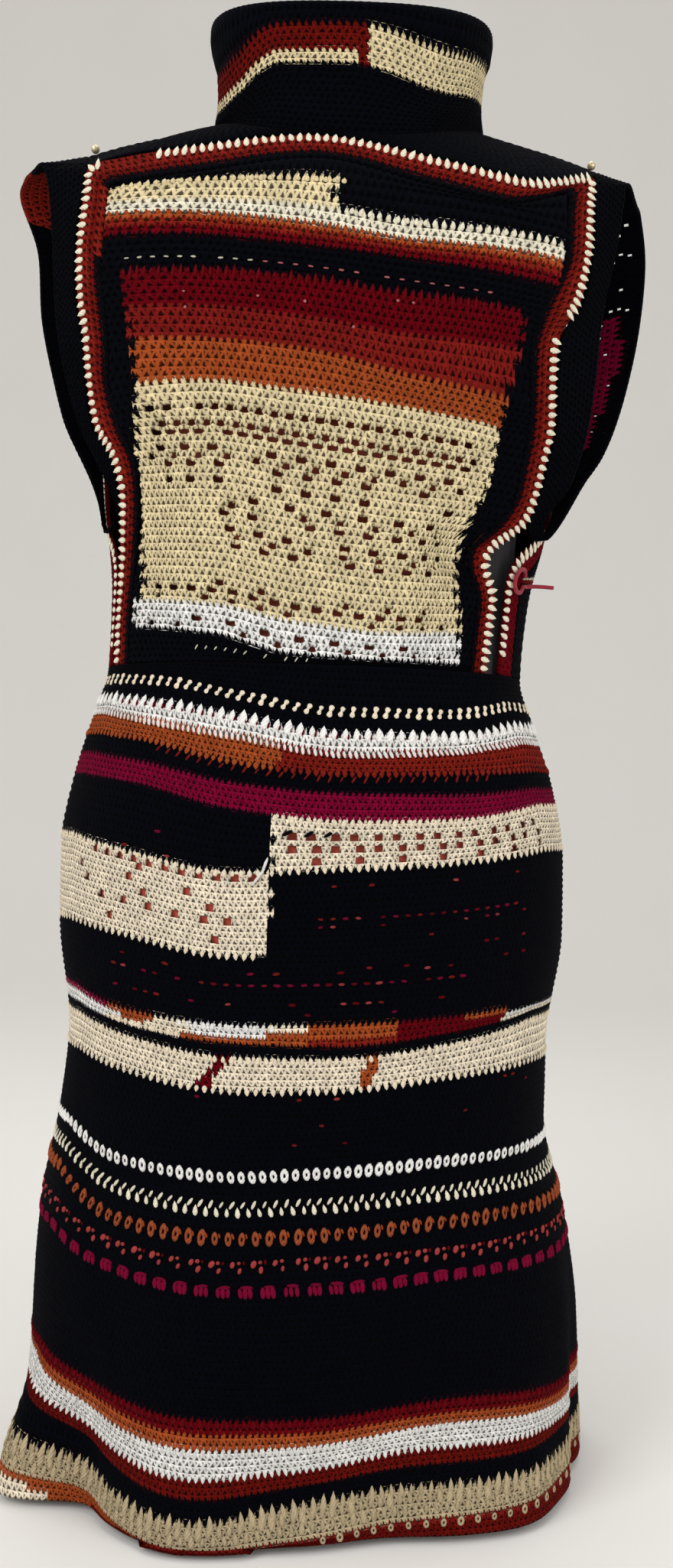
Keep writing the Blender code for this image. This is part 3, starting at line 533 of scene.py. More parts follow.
# The crochet look. The stitch map counts stitches along a row and rows up the piece, and the
# two colours of a face are its own yarn and the yarn of the row that pokes up into it.
def crochet(name, settings):
    finish = Finish(name, settings["roughness"], Sheen_Weight=settings["sheen"], Sheen_Roughness=0.3,
                    Specular_IOR_Level=0.04)
    finish.shader.inputs["Sheen Tint"].default_value = (0.75, 0.80, 1.0, 1.0)
    stitchMap = finish.add("ShaderNodeUVMap", {"uv_map": "stitch"}).outputs[0]
    wobble = finish.noise(150.0, detail=1.0) - 0.5
    kink = finish.noise(430.0, detail=1.0) - 0.5
    across, up, _ = finish.axes(stitchMap)
    up = up + wobble * 0.24 + kink * 0.22
    row = up.sum("FLOOR")
    rise = up - row
    turned = row.sum("FLOORED_MODULO", 2.0)                 # every other row is worked the other way
    lean = (rise - 0.5) * (turned - 0.5) * settings["lean"]
    across = across + turned * 0.5 + wobble * 0.5 + kink * 0.35 + lean
    column = across.sum("FLOOR")
    along = across - column
    off = (along - 0.5).sum("ABSOLUTE")                     # 0 in the stitch's middle, 0.5 at its sides
    legs = (off - (1.0 - rise) * 0.5).sum("ABSOLUTE")       # two legs that meet at the stitch's top
    sway = (across * 12.566).sum("SINE") * 0.07
    bar = (rise + sway - 0.86).sum("ABSOLUTE")              # the loop that lies along the row's top
    strand = finish.range(legs, 0.12, 0.31, 1.0, 0.0)
    # the top loop is also painted lighter in the colour below, a painted highlight along each row's top
    loop = finish.range(bar, 0.08, 0.26, 1.0, 0.0) * (turned * 0.25 + settings["loop"] - 0.15)
    yarn = strand.sum("MAXIMUM", loop)
    ply = ((along * 3.0 + rise * 4.0) * 6.2832).sum("SINE")
    pick = finish.add("ShaderNodeCombineXYZ", None, {0: column, 1: row})
    dice = finish.value(finish.add("ShaderNodeTexWhiteNoise", {"noise_dimensions": "2D"},
                                   {0: pick.outputs[0]}))
    fuzz = finish.noise(2600.0, detail=2.0)
    patch = finish.noise(38.0, detail=2.0)
    poke = finish.range(rise - (off * 2.0).sum("POWER", 1.3) * settings["tooth"], -0.06, 0.06, 1.0, 0.0)
    own = finish.add("ShaderNodeVertexColor", {"layer_name": "yarn"}).outputs[0]
    below = finish.add("ShaderNodeVertexColor", {"layer_name": "below"}).outputs[0]
    colour = finish.mix(poke, own, below)
    # painted shade: where no strand lies, the colour is darkened down to the look's gap value; dice, fuzz,
    # patch and ply are the yarn's own tone
    shade = ((finish.range(yarn, 0.0, 0.80, settings["gap"], 0.92) + loop * 0.16) * (dice * 0.26 + 0.84)
             * (fuzz * 0.5 + 0.76) * (patch * 0.24 + 0.88) * (ply * 0.05 + 0.97))
    finish.feed("Base Color", finish.mix(1.0, colour, finish.grey(shade), "MULTIPLY"))
    finish.bump(yarn + ply * 0.10 + fuzz * 0.35, settings["relief"])
    return finish.material


# loop: the top loop's strength, in the bump and in its painted highlight
yarnLook = {"roughness": 0.92, "sheen": 0.004, "loop": 0.9, "lean": 0.3}
# gap: how dark the painted shade between the strands goes
looks = {
    "crochet_navy": {"tooth": 0.85, "gap": 0.10, "relief": 0.0013},
    "crochet_tan": {"tooth": 0.85, "gap": 0.10, "relief": 0.0015},
    "crochet_rust": {"tooth": 0.80, "gap": 0.12, "relief": 0.0013}}
cloth = {slot: crochet(slot, {**yarnLook, **settings}) for slot, settings in looks.items()}
print("yarns ready")


# A piece's flat size, the piece or node it rests on, and its flat area if it isn't a rectangle.
Sheet = namedtuple("Sheet", "flat restsOn area", defaults=(None,))
shell = {"stitchWidth": 0.0044, "middle": Vector((0.01, 0.0, 0.0)), "play": 0.3, "wave": 0.6, "pit": 1.6,
         "pitSize": 0.55, "lift": 0.3, "corner": 1.4}


# One piece of cloth: a grid of stitches laid on a surface, with row and stitch relief, holes,
# the stitch map, both yarn colours and a wall's thickness.
def clothPiece(name, slot, stitches, rows, place, yarnAt, cells=(1, 2), closed=False, holes=None,
               relief=0.0004, stretch=0.0):
    across, up = stitches * cells[0], rows * cells[1]
    bm = bmesh.new()
    bmesh.ops.create_grid(bm, x_segments=across, y_segments=up, size=0.5)
    grid = {}
    for vert in bm.verts:
        i, j = round((vert.co.x + 0.5) * across), round((vert.co.y + 0.5) * up)
        grid[i, j] = vert
    for (i, j), vert in grid.items():
        vert.co = place(i / across, j / cells[1])
    stitchMap = bm.loops.layers.uv.new("stitch")
    own = bm.loops.layers.float_color.new("yarn")
    below = bm.loops.layers.float_color.new("below")
    reach = {}
    for j in range(up + 1):
        lengths = [0.0]
        for i in range(across):
            lengths.append(lengths[-1] + (grid[i + 1, j].co - grid[i, j].co).length)
        zero = lengths[across // 2]
        for i in range(across + 1):
            reach[i, j] = (lengths[i] - zero) / shell["stitchWidth"] if cells[0] == 1 else i / cells[0]
    where = {vert: key for key, vert in grid.items()}
    gone = []
    for face in bm.faces:
        corners = [where[vert] for vert in face.verts]
        i, j = min(c[0] for c in corners), min(c[1] for c in corners)
        row, share = j // cells[1], (i + 0.5) / across
        mine, under = yarnAt(row, share), yarnAt(max(row - 1, 0), share)
        for loop, corner in zip(face.loops, corners):
            loop[stitchMap].uv = (reach[corner], corner[1] / cells[1])
            loop[own] = (*yarns[mine], 1.0)
            loop[below] = (*yarns[under], 1.0)
        if holes and holes(row, share, i, j):
            gone.append(face)
    bm.normal_update()
    facing = 0.0
    for face in bm.faces:
        out = face.calc_center_median() - shell["middle"]
        out.z = 0.0
        facing += out.dot(face.normal) * face.calc_area()
    if facing < 0.0:
        bmesh.ops.reverse_faces(bm, faces=bm.faces)
        bm.normal_update()
    dice = random.Random(len(name) * 31 + across)
    moves = []
    for (i, j), vert in grid.items():
        wave = -math.cos(2 * math.pi * j / cells[1])
        if cells[0] > 1:
            turn = (i / cells[0] + 0.5 * ((j // cells[1]) % 2)) % 1.0
            gap = math.hypot(min(abs(turn - 0.5), 1.0) * 2.2, (j / cells[1] - round(j / cells[1])) * 2.0)
            pit = shell["pit"] * math.exp(-(gap / shell["pitSize"]) ** 2)
            wave = wave * shell["wave"] - pit + shell["lift"]
        play = dice.uniform(-shell["play"], shell["play"])
        moves.append((vert, vert.normal * (relief * wave + play * relief)))
    for vert, move in moves:
        vert.co += move
    pulls = {}                                              # the stitches round an eyelet are drawn apart
    for face in gone if stretch else ():
        for vert in face.verts:
            pulls.setdefault(vert, []).append(face.calc_center_median())
    for vert, centres in pulls.items():
        away = vert.co - sum(centres, Vector()) / len(centres)
        vert.co += away * stretch * (shell["corner"] if len(centres) > 1 else 1.0)
    if gone:
        bmesh.ops.delete(bm, geom=gone, context="FACES")
    if closed:
        bmesh.ops.remove_doubles(bm, verts=bm.verts, dist=1e-6)
    for vert in bm.verts:
        vert.co += axis
    mesh = bpy.data.meshes.new(name)
    bm.to_mesh(mesh)
    bm.free()
    mesh.shade_smooth()
    mesh.materials.append(cloth[slot])
    made = bpy.data.objects.new("cloth_" + name, mesh)
    bpy.context.collection.objects.link(made)
    wall = made.modifiers.new("wall", "SOLIDIFY")
    wall.thickness, wall.offset, wall.use_rim = coat["cloth"], -1.0, True
    wall.use_even_offset = False
    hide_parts(name)
    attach(made, "root")
    area = sum(face.area for face in mesh.polygons)
    print(name, "triangles", len(mesh.polygons) * 4, "area", round(area, 4))
    return made


Stud = namedtuple("Stud", "shape place out up size yarn turn")


def strandFinish():
    finish = Finish("raised stitch", 0.9, Sheen_Weight=0.004, Specular_IOR_Level=0.06)
    own = finish.add("ShaderNodeVertexColor", {"layer_name": "yarn"}).outputs[0]
    x, y, _ = finish.axes(finish.add("ShaderNodeUVMap", {"uv_map": "stitch"}).outputs[0])
    ply = ((x * 2.0 + y * 3.0) * 6.2832).sum("SINE")
    fuzz = finish.noise(2400.0, detail=2.0)
    shade = (fuzz * 0.6 + 0.70) * (finish.noise(150.0) * 0.4 + 0.80) * (ply * 0.10 + 0.95)
    finish.feed("Base Color", finish.mix(1.0, own, finish.grey(shade), "MULTIPLY"))
    finish.bump(ply * 0.5 + fuzz * 0.6, 0.0006)
    return finish.material


strand = strandFinish()


# a unit shape: x along the row, y outwards, z up
def studShape(kind):
    bm = bmesh.new()
    if kind == "loop":
        ring = bmesh.ops.create_circle(bm, segments=4, radius=0.19)["verts"]
        bmesh.ops.translate(bm, vec=(0.31, 0.0, 0.0), verts=ring)
        edges = list(bm.edges)
        bmesh.ops.spin(bm, geom=ring + edges, cent=(0, 0, 0), axis=(0, 1, 0), angle=math.radians(360),
                       steps=10, use_merge=True, use_duplicate=False)
        bmesh.ops.remove_doubles(bm, verts=bm.verts, dist=1e-5)
        for vert in bm.verts:
            vert.co.y *= 2.6
    else:
        bmesh.ops.create_uvsphere(bm, u_segments=6, v_segments=8 if kind == "twin" else 5, radius=0.5)
        for vert in bm.verts:
            if kind == "drop":                              # full below, drawn out to a point above
                vert.co.x *= 1.05 - 1.9 * max(0.0, vert.co.z)
                vert.co.y *= 1.05 - 1.3 * max(0.0, vert.co.z)
            if kind == "spike":                             # a triangle with a broad foot
                vert.co.x *= 1.15 - 2.0 * max(0.0, vert.co.z)
                vert.co.y *= 1.0 - 1.2 * max(0.0, vert.co.z)
            if kind == "twin":                              # two lobes, one over the other
                away = abs(vert.co.z)
                wide = 1.4 if away > 0.3 else 0.95 if away > 0.1 else 0.42
                vert.co.x *= wide
                vert.co.y *= min(1.0, wide)
    stitchMap = bm.loops.layers.uv.new("stitch")
    for face in bm.faces:
        for loop in face.loops:
            loop[stitchMap].uv = (loop.vert.co.x, loop.vert.co.z)
    bmesh.ops.recalc_face_normals(bm, faces=bm.faces)
    mesh = bpy.data.meshes.new(kind)
    bm.to_mesh(mesh)
    bm.free()
    return mesh


studShapes = {kind: studShape(kind) for kind in ("loop", "drop", "spike", "twin", "bead")}


def studPiece(name, studs):
    bm = bmesh.new()
    own = bm.loops.layers.float_color.new("yarn")
    for stud in studs:
        size = len(bm.verts), len(bm.faces)
        bm.from_mesh(studShapes[stud.shape])
        bm.verts.ensure_lookup_table()
        bm.faces.ensure_lookup_table()
        along = stud.up.cross(stud.out).normalized() * -1.0
        up = along.cross(stud.out).normalized() * -1.0
        if up.dot(stud.up) < 0:
            up = -up
        turn = Matrix.Rotation(stud.turn, 4, "Y")
        axes = Matrix((along, stud.out, up)).transposed().to_4x4()
        matrix = Matrix.Translation(stud.place + axis) @ axes @ turn @ Matrix.Diagonal((*stud.size, 1.0))
        bmesh.ops.transform(bm, matrix=matrix, verts=bm.verts[size[0]:])
        for face in bm.faces[size[1]:]:
            for loop in face.loops:
                loop[own] = (*yarns[stud.yarn], 1.0)
    bmesh.ops.recalc_face_normals(bm, faces=bm.faces)
    mesh = bpy.data.meshes.new(name)
    bm.to_mesh(mesh)
    bm.free()
    mesh.shade_smooth()
    mesh.materials.append(strand)
    made = bpy.data.objects.new(name, mesh)
    bpy.context.collection.objects.link(made)
    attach(made, "root")
    print(name, "stitches", len(studs), "faces", len(mesh.polygons))
    return made


# Stripes from the hem up: the rows, their top edge's height at these angles round the back, level
# past the ends, and one yarn for all rows or a list with one for each.
lineAngles = (-64, -40, -15, 5, 30, 60)
Band = namedtuple("Band", "rows top yarns")
bandChange = -6.8              # where the band under the waist turns from orange to rust
cleft = -7.3                   # where the cream blocks' ends meet
skirtBands = [
    Band(3, (0.027, 0.013, 0.004, 0.010, 0.018, 0.022), "flare"),
    # the tan rows at the hem, painted darker as shade
    Band(5, (0.046, 0.029, 0.020, 0.032, 0.038, 0.038), "sand"),
    Band(3, (0.075, 0.050, 0.036, 0.046, 0.054, 0.055), "navy"),
    Band(3, (0.083, 0.060, 0.050, 0.057, 0.066, 0.064), "russet"),
    Band(4, (0.096, 0.073, 0.067, 0.071, 0.081, 0.074), "white"),
    Band(3, (0.102, 0.088, 0.082, 0.084, 0.092, 0.084), ["orange", "orange", "crimson"]),
    Band(2, (0.110, 0.097, 0.091, 0.093, 0.102, 0.093), ["crimson", "navy"]),
    Band(18, (0.190, 0.174, 0.169, 0.174, 0.181, 0.179), "navy"),
    Band(4, (0.206, 0.192, 0.187, 0.194, 0.197, 0.197), "navy"),
    Band(4, (0.229, 0.206, 0.202, 0.208, 0.214, 0.213), "navy"),
    Band(4, (0.246, 0.228, 0.222, 0.228, 0.234, 0.233), "navy"),
    Band(5, (0.264, 0.248, 0.245, 0.251, 0.256, 0.256), "navy"),
    Band(14, (0.320, 0.312, 0.306, 0.309, 0.317, 0.321), "navy"),
    Band(5, (0.345, 0.335, 0.328, 0.330, 0.339, 0.351), "cream"),
    Band(2, (0.353, 0.344, 0.338, 0.338, 0.347, 0.358), "navy"),
    Band(3, (0.366, 0.354, 0.350, 0.353, 0.358, 0.364), "mixed"),
    Band(11, (0.416, 0.409, 0.399, 0.402, 0.408, 0.416), "navy"),
    Band(13, (0.476, 0.466, 0.455, 0.461, 0.467, 0.477), ("cream", cleft, "navy")),
    Band(8, (0.521, 0.515, 0.499, 0.493, 0.496, 0.508), ("navy", cleft, "cream")),
    Band(4, (0.537, 0.530, 0.517, 0.512, 0.513, 0.520), "magenta"),
    Band(4, (0.554, 0.548, 0.533, 0.527, 0.530, 0.535), "navy"),
    Band(4, (0.570, 0.561, 0.551, 0.541, 0.545, 0.556), ("orange", bandChange, "rust")),
    Band(3, (0.582, 0.578, 0.568, 0.558, 0.558, 0.569), ["white", "white", "navy"]),
    Band(3, (0.594, 0.591, 0.580, 0.571, 0.572, 0.582), "navy"),
    Band(6, (0.605,) * 6, "navy")]
skirtRows = sum(band.rows for band in skirtBands)


def rowYarns(bands):
    return [yarn for band in bands
            for yarn in (band.yarns if isinstance(band.yarns, list) else [band.yarns] * band.rows)]


skirtYarns = rowYarns(skirtBands)
patchedFirst, creamFirst = skirtYarns.index("mixed"), skirtYarns.index("cream")
creamRows = skirtYarns.count("cream")


# the angle-wise height of any row, from the bands' edges
def rowHeights(bands, angles, bottom):
    lines = [(0, smoothCurve(angles, [bottom] * len(angles)))]
    for band in bands:
        lines.append((lines[-1][0] + band.rows, smoothCurve(angles, band.top)))

    def at(angle, row):
        k = min(max(bisect_right([line[0] for line in lines], row) - 1, 0), len(lines) - 2)
        (low, under), (high, over) = lines[k], lines[k + 1]
        return blend(under(angle), over(angle), (row - low) / (high - low))

    return at


skirtHeight = rowHeights(skirtBands, lineAngles, coat["hem"])


# the thin patched stripe: the angle at which each yarn ends, for its three rows from the lowest up
patched = [[(-50, "white"), (-27, "cream"), (0, "orange"), (18, "rust"), (46, "crimson"), (200, "cream")],
           [(-44, "white"), (-36, "orange"), (-24, "cream"), (-8, "white"), (18, "orange"), (47, "crimson"),
            (200, "white")],
           [(-48, "magenta"), (-34, "orange"), (-24, "cream"), (-8, "white"), (0, "cream"), (18, "orange"),
            (34, "crimson"), (47, "orange"), (200, "navy")]]


# the three rows at the hem, by the angle at which each yarn ends
flare = [[(-51, "cream"), (-42, "orange"), (200, "russet")],
         [(-55, "cream"), (-32, "orange"), (200, "russet")], [(-26, "orange"), (200, "brick")]]


def yarnBefore(ends, angle):
    return next(name for end, name in ends if angle < end)


def skirtYarn(row, angle):
    yarn = skirtYarns[row]
    if yarn == "flare":
        return yarnBefore(flare[row], angle)
    if yarn == "mixed":
        return yarnBefore(patched[row - patchedFirst], angle)
    if isinstance(yarn, tuple):                             # left yarn, where it changes, right yarn
        ragged = 0.5 * math.sin(row * 2.3)
        turned = (angle + 180.0) % 360.0 - 180.0
        if abs(turned) > 178.0:
            return yarn[0]
        return yarn[0] if turned < yarn[1] + ragged else yarn[2]
    if yarn == "cream":                                    # two slanting joins in the cream band
        rise = (row - creamFirst) / creamRows
        if abs(angle - blend(-20.6, -15.7, rise)) < 1.5:
            return "crimson"
        if abs(angle - blend(11.0, 13.2, rise)) < 1.4:
            return "orange"
    return yarn


def skirtAngles(start, end, count):
    fine = 720
    lengths = [0.0]
    for k in range(fine):
        a, b = (bodyPoint(blend(start, end, (k + n) / fine), 0.33) for n in (0, 1))
        lengths.append(lengths[-1] + (b - a).length)
    turns = []
    for n in range(count + 1):
        want = lengths[-1] * n / count
        k = min(bisect_right(lengths, want) - 1, fine - 1)
        turns.append(blend(start, end, (k + (want - lengths[k]) / (lengths[k + 1] - lengths[k])) / fine))
    return turns


# eyelets of the two cream blocks, on whole stitches: the left ones are charted by row
# and counted from the stitch at the cleft
leftEyelets = {95: (8, 28), 98: (6, 10, 15, 20, 25, 30), 100: (9, 21, 34), 102: (13, 24, 36), 104: (22,)}


def skirtHole(row, angle, column):
    if row in (109, 111, 107) and cleft + 2 < angle < 60:
        return (column + (3 if row == 109 else 0)) % 7 in ((1, 5) if row > 107 else (2,))
    if -80 < angle < cleft - 1:
        count = cleftColumn - column
        return count in leftEyelets.get(row, ()) or row == 105 and count % 3 == 2 and count < 34
    return False


def skirtPanel(name, start, end, stitches):
    turns = skirtAngles(start, end, stitches)

    def angleAt(share):
        return turns[round(share * stitches)]

    def place(share, row):
        angle = angleAt(share)
        height = skirtHeight(angle, row)
        if row >= skirtRows:
            height -= coat["seam"] / 2
        if share in (0.0, 1.0) and abs(angle) < coat["opening"]:
            angle += seamTurn(angle, height) * (1 if share == 0.0 else -1)
        return bodyPoint(angle, height, creasePush(angle, height))

    def yarnAt(row, share):
        return skirtYarn(row, turns[min(int(share * stitches), stitches)])

    clothPiece(name, "crochet_navy", stitches, skirtRows, place, yarnAt, stretch=0.36,
               holes=lambda row, share, i, j: skirtHole(row, turns[i], i))


cleftColumn = bisect_right(skirtAngles(-coat["sideSeam"], coat["sideSeam"], 129), cleft) - 1
skirtPanel("skirt_back", -coat["sideSeam"], coat["sideSeam"], 129)
skirtPanel("skirt_front_left", -coat["opening"], -coat["sideSeam"], 56)
skirtPanel("skirt_front_right", coat["sideSeam"], coat["opening"], 56)


# Raised stitches along a skirt row, counted from the hem, from one angle to another at a pitch.
def skirtStuds(shape, yarn, row, pitch, size, proud=0.0002, start=-177.0, end=177.0, turn=0.0, shift=0.0,
               keep=1.0, jitter=0.15, group=(0.0,)):
    made = []
    anchor = start + shift
    while anchor < end:
        degree = degreeLength(anchor, skirtHeight(anchor, row))
        for reach in group:
            angle = anchor + reach / degree
            height = skirtHeight(angle, row)
            if abs(abs(angle) - coat["sideSeam"]) < 0.3 or abs(angle) > 177.8 or hairs.random() > keep:
                continue
            out = bodyNormal(angle, height)
            place = bodyPoint(angle, height, creasePush(angle, height)) + out * proud
            after, before = (bodyPoint(a, skirtHeight(a, row)) for a in (angle + 0.5, angle - 0.5))
            up = (after - before).cross(out).normalized()
            if up.z < 0:
                up = -up
            grow = 1.0 + hairs.uniform(-jitter, jitter)
            name = yarn if isinstance(yarn, str) else yarn(angle)
            lean = turn if isinstance(turn, float) else turn(angle)
            made.append(Stud(shape, place, out, up, (size[0] * grow, size[1], size[2] * grow), name,
                             lean + hairs.uniform(-0.15, 0.15)))
        anchor += pitch / degree
    return made


def dotYarn(angle):
    return hairs.choice(["crimson", "brick", "magenta", "blush"])


def bandYarn(angle):
    return "orange" if angle < bandChange else "rust"


def fanned(angle):
    return -0.008 * angle


# Courses in the order they are worked: shape, yarn, row, pitch, size and what is special to them.
waistCourses = [
    ("twin", "cream", 132.0, 0.0081, (0.0043, 0.0022, 0.0084), {"turn": -0.3}),
    ("spike", "white", 128.5, 0.0081, (0.0060, 0.0024, 0.0104), {"jitter": 0.2}),
    ("bead", "crimson", 128.2, 0.0081, (0.0024, 0.0016, 0.0050), {"shift": 1.3, "start": -60, "end": 75}),
    ("bead", "white", 125.9, 0.0042, (0.0026, 0.0016, 0.0056), {"turn": 0.35}),
    ("drop", bandYarn, 121.9, 0.0052, (0.0042, 0.0018, 0.0048), {"turn": 3.14}),
    ("bead", "brick", 121.0, 0.0085, (0.0018, 0.0014, 0.0056), {"turn": -0.5, "start": -36, "end": 44}),
    ("loop", "white", 58.7, 0.0073, (0.0056, 0.0024, 0.0092), {"turn": fanned}),
    ("drop", "ivory", 53.5, 0.0074, (0.0038, 0.0022, 0.0072), {"turn": 0.15}),
    ("bead", "ivory", 54.6, 0.0074, (0.0024, 0.0014, 0.0060), {"turn": -0.5, "shift": 0.35}),
    ("loop", "copper", 49.9, 0.0093, (0.0053, 0.0026, 0.0108), {"turn": -0.1}),
    ("bead", "orange", 50.3, 0.0093, (0.0018, 0.0016, 0.0040), {"turn": 0.3, "shift": 0.5}),
    ("bead", "blush", 45.6, 0.0143, (0.0042, 0.0018, 0.0054), {"turn": -0.5}),
    ("bead", "blush", 45.9, 0.0143, (0.0034, 0.0016, 0.0026), {"turn": 0.2, "shift": 0.7}),
    ("bead", "blush", 44.6, 0.0143, (0.0032, 0.0018, 0.0046), {"turn": -0.3, "shift": 1.3}),
    ("bead", "crimson", 45.9, 0.0143, (0.0020, 0.0014, 0.0028), {"shift": 1.5, "keep": 0.6}),
    ("bead", "magenta", 41.4, 0.0151, (0.0038, 0.0022, 0.0076),
     {"turn": 0.1, "jitter": 0.12, "group": (0.0, 0.0034, 0.0068)}),
    ("bead", "magenta", 42.2, 0.0151, (0.0098, 0.0018, 0.0026), {"group": (0.0034,)})]
edgeCourses = [
    (shape, yarn, row, 0.0060, (0.0038, 0.0018, 0.0052), {"start": start, "end": end, "turn": turn})
    for row, shape, yarn, start, end, turn in (
        (114.0, "drop", "cream", cleft + 1, 92, 0.0), (106.0, "drop", "cream", cleft + 1, 92, 3.14),
        (106.2, "drop", "cream", -92, cleft - 1, 0.0), (93.0, "drop", "cream", -92, cleft - 1, 3.14),
        (77.0, "drop", "cream", -177, 177, 0.0), (72.0, "drop", "cream", -177, 177, 3.14),
        (82.0, "drop", "white", -26, -5, 0.0), (79.8, "drop", "cream", -46, -26, 3.14),
        (21.9, "drop", "crimson", -177, 177, 0.0))]
hemCourses = [
    ("drop", "white", 17.9, 0.0046, (0.0030, 0.0018, 0.0048), {}),
    ("drop", "white", 14.1, 0.0046, (0.0030, 0.0018, 0.0046), {"turn": 3.14}),
    # the hem's tan spikes take the tan painted darker as shade
    ("spike", "sand", 8.3, 0.0069, (0.0038, 0.0020, 0.0112), {"jitter": 0.35}),
    ("spike", "sand", 7.0, 0.0069, (0.0042, 0.0020, 0.0096), {"shift": 0.9, "jitter": 0.35}),
    ("spike", "sand", 5.2, 0.0073, (0.0036, 0.0018, 0.0080), {"shift": 0.4, "jitter": 0.35}),
    ("loop", "sand", 2.5, 0.0122, (0.0046, 0.0018, 0.0062), {"start": 5, "end": 92})]
# dots strewn over the navy rows: size, start, end, and each row with the share of its dots that is kept
dotCourses = [
    ("bead", dotYarn, row, 0.0088, size, {"keep": keep, "start": start, "end": end})
    for size, start, end, dots in (
        ((0.0046, 0.0010, 0.0019), 2, 56,
         ((98.6, 0.62), (97.4, 0.30), (103.5, 0.20), (95.5, 0.18), (93.6, 0.14), (91.0, 0.20))),
        ((0.0054, 0.0010, 0.0020), -44, 34, ((90.4, 0.30), (88.6, 0.72), (85.6, 0.42), (84.0, 0.08))),
        ((0.0054, 0.0010, 0.0020), -44, -8, ((109.5, 0.08), (107.0, 0.10))),
        ((0.0044, 0.0010, 0.0019), -36, 60, ((63.5, 0.08), (66.5, 0.08), (69.5, 0.08), (70.8, 0.08))))
    for row, keep in dots]
# darned navy ends above the right cream block, and two loose white ends at the cleft
looseEnds = [
    ("bead", "navy", 111.9, 0.014, (0.0084, 0.0024, 0.0026),
     {"start": cleft + 3.5, "end": cleft + 11, "turn": 0.5, "proud": 0.0010, "group": (0.0, 0.0002)}),
    ("bead", "white", 105.6, 0.030, (0.0020, 0.0020, 0.0150),
     {"start": cleft - 1.5, "end": cleft, "turn": -0.6, "proud": 0.0012}),
    ("bead", "white", 107.3, 0.030, (0.0022, 0.0020, 0.0110),
     {"start": cleft - 0.3, "end": cleft + 1, "turn": -0.3, "proud": 0.0012})]
skirtTrim = []
for *course, special in waistCourses + edgeCourses + hemCourses + dotCourses + looseEnds:
    skirtTrim += skirtStuds(*course, **special)
studPiece("raised_skirt", skirtTrim)


bodiceAngles = (-50, -25, -5, 15, 40)
topInset = 0.0243              # the width of the edging above the panel, and a seam
panelTop = smoothCurve(bodiceAngles, [backTop(bodyPoint(a, 0.95).x) - topInset for a in bodiceAngles])
bodiceBands = [
    Band(5, (0.630, 0.624, 0.610, 0.608, 0.608), "navy"),
    Band(4, (0.650, 0.645, 0.633, 0.627, 0.631), "white"),
    Band(28, (0.804, 0.803, 0.795, 0.787, 0.780), "tan"),
    Band(5, (0.838, 0.832, 0.825, 0.809, 0.799), "orange"),
    Band(4, (0.861, 0.855, 0.847, 0.837, 0.836), "brick"),
    Band(5, (0.885, 0.880, 0.874, 0.865, 0.863), "crimson"),
    Band(5, (0.913, 0.906, 0.897, 0.890, 0.886), "navy"),
    Band(3, (0.931, 0.923, 0.914, 0.904, 0.906), ["crimson", "rust", "orange"]),
    Band(2, (0.939, 0.932, 0.926, 0.915, 0.917), "ivory"),
    Band(3, (0.9505, 0.949, 0.947, 0.942, 0.937), "tanLeft"),
    Band(2, tuple(panelTop(a) for a in bodiceAngles), "navy")]
bodiceRows = sum(band.rows for band in bodiceBands)
bodiceYarns = rowYarns(bodiceBands)
bodiceLine = rowHeights(bodiceBands, bodiceAngles, coat["waist"] + coat["seam"] / 2)
bodice = {"stitches": 54, "tanEnd": 0.002, "edge": -0.147, "margin": 0.009, "tuck": 0.0018, "tuckDepth": 0.6,
          "proud": 0.0003,
          "left": smoothCurve([0.63, 0.648, 0.656, 0.70, 0.80, 0.88],
                              [-0.138, -0.1375, -0.132, -0.135, -0.138, -0.149]),
          "right": smoothCurve([0.63, 0.694, 0.745, 0.776, 0.84, 0.88],
                               [0.102, 0.100, 0.122, 0.126, 0.140, 0.143])}
panelCorners = [backCorner(side)[0] for side in (-1, 1)]
panelFan = smoothCurve([0.605, 0.80, 0.96], [0.124, 0.150, 0.170])


def panelEnds(height):
    return (backEdge(-1, height) + backBand(-1, height) + coat["seam"],
            backEdge(1, height) - backBand(1, height) - coat["seam"])


def panelHeight(across, height, row):
    angle = backAngle(across, height)
    if row <= bodiceRows - 2:
        return bodiceLine(angle, row)
    first, last = panelEnds(height)
    top = backTop(blend(*panelCorners, clamp((across - first) / (last - first)))) - topInset
    return blend(bodiceLine(angle, bodiceRows - 2), top, (row - bodiceRows + 2) / 2)


# stitches run straight up the panel, and crowd only beside its two edges
@lru_cache(None)
def panelSpot(share, row):
    height = 0.78
    for _ in range(5):
        first, last = panelEnds(height)
        left, right = bodice["edge"], panelFan(height)
        across = blend(left, right, share)
        across += ((last - right) * smooth((share - 0.74) / 0.26)
                   + (first - left) * smooth((0.2 - share) / 0.2))
        height = panelHeight(across, height, row)
    return across, height


def bodiceBackYarn(row, share):
    yarn = bodiceYarns[row]
    across, height = panelSpot(share, row + 0.5)
    if yarn == "tanLeft":
        return "tan" if across < bodice["tanEnd"] + (0.004 if row % 2 else -0.002) else "navy"
    if yarn in ("white", "tan", "orange", "brick", "crimson") and row < 51:
        ragged = 0.0026 if row % 2 else -0.0020
        if across < bodice["left"](height) + ragged or across > bodice["right"](height) + ragged:
            return "navy"
    return yarn


# eyelets, counted in stitches across and rows down from the tan block's top
eyelets = {2: (2, 0), 4: (2, 1), 5: (2, 0), 7: (4, 0), 8: (4, 2), 9: (4, 1), 11: (4, 1), 13: (5, 3),
           14: (5, 0), 15: (4, 2), 17: (4, 3), 18: (5, 1), 19: (4, 0), 24: (6, 2), 25: (3, 1), 26: (4, 0)}


# an eyelet is a stitch wide and two thirds of a row high
def bodiceHole(row, share, i, j):
    if j % 3 > 1:
        return False
    for stitch in ((i - 3) // 4, (i + 1) // 4, (i + 4) // 4):
        if abs(i - 4 * stitch - 1.5) < 2.0 and openStitch(row, stitch):
            return True
    return False


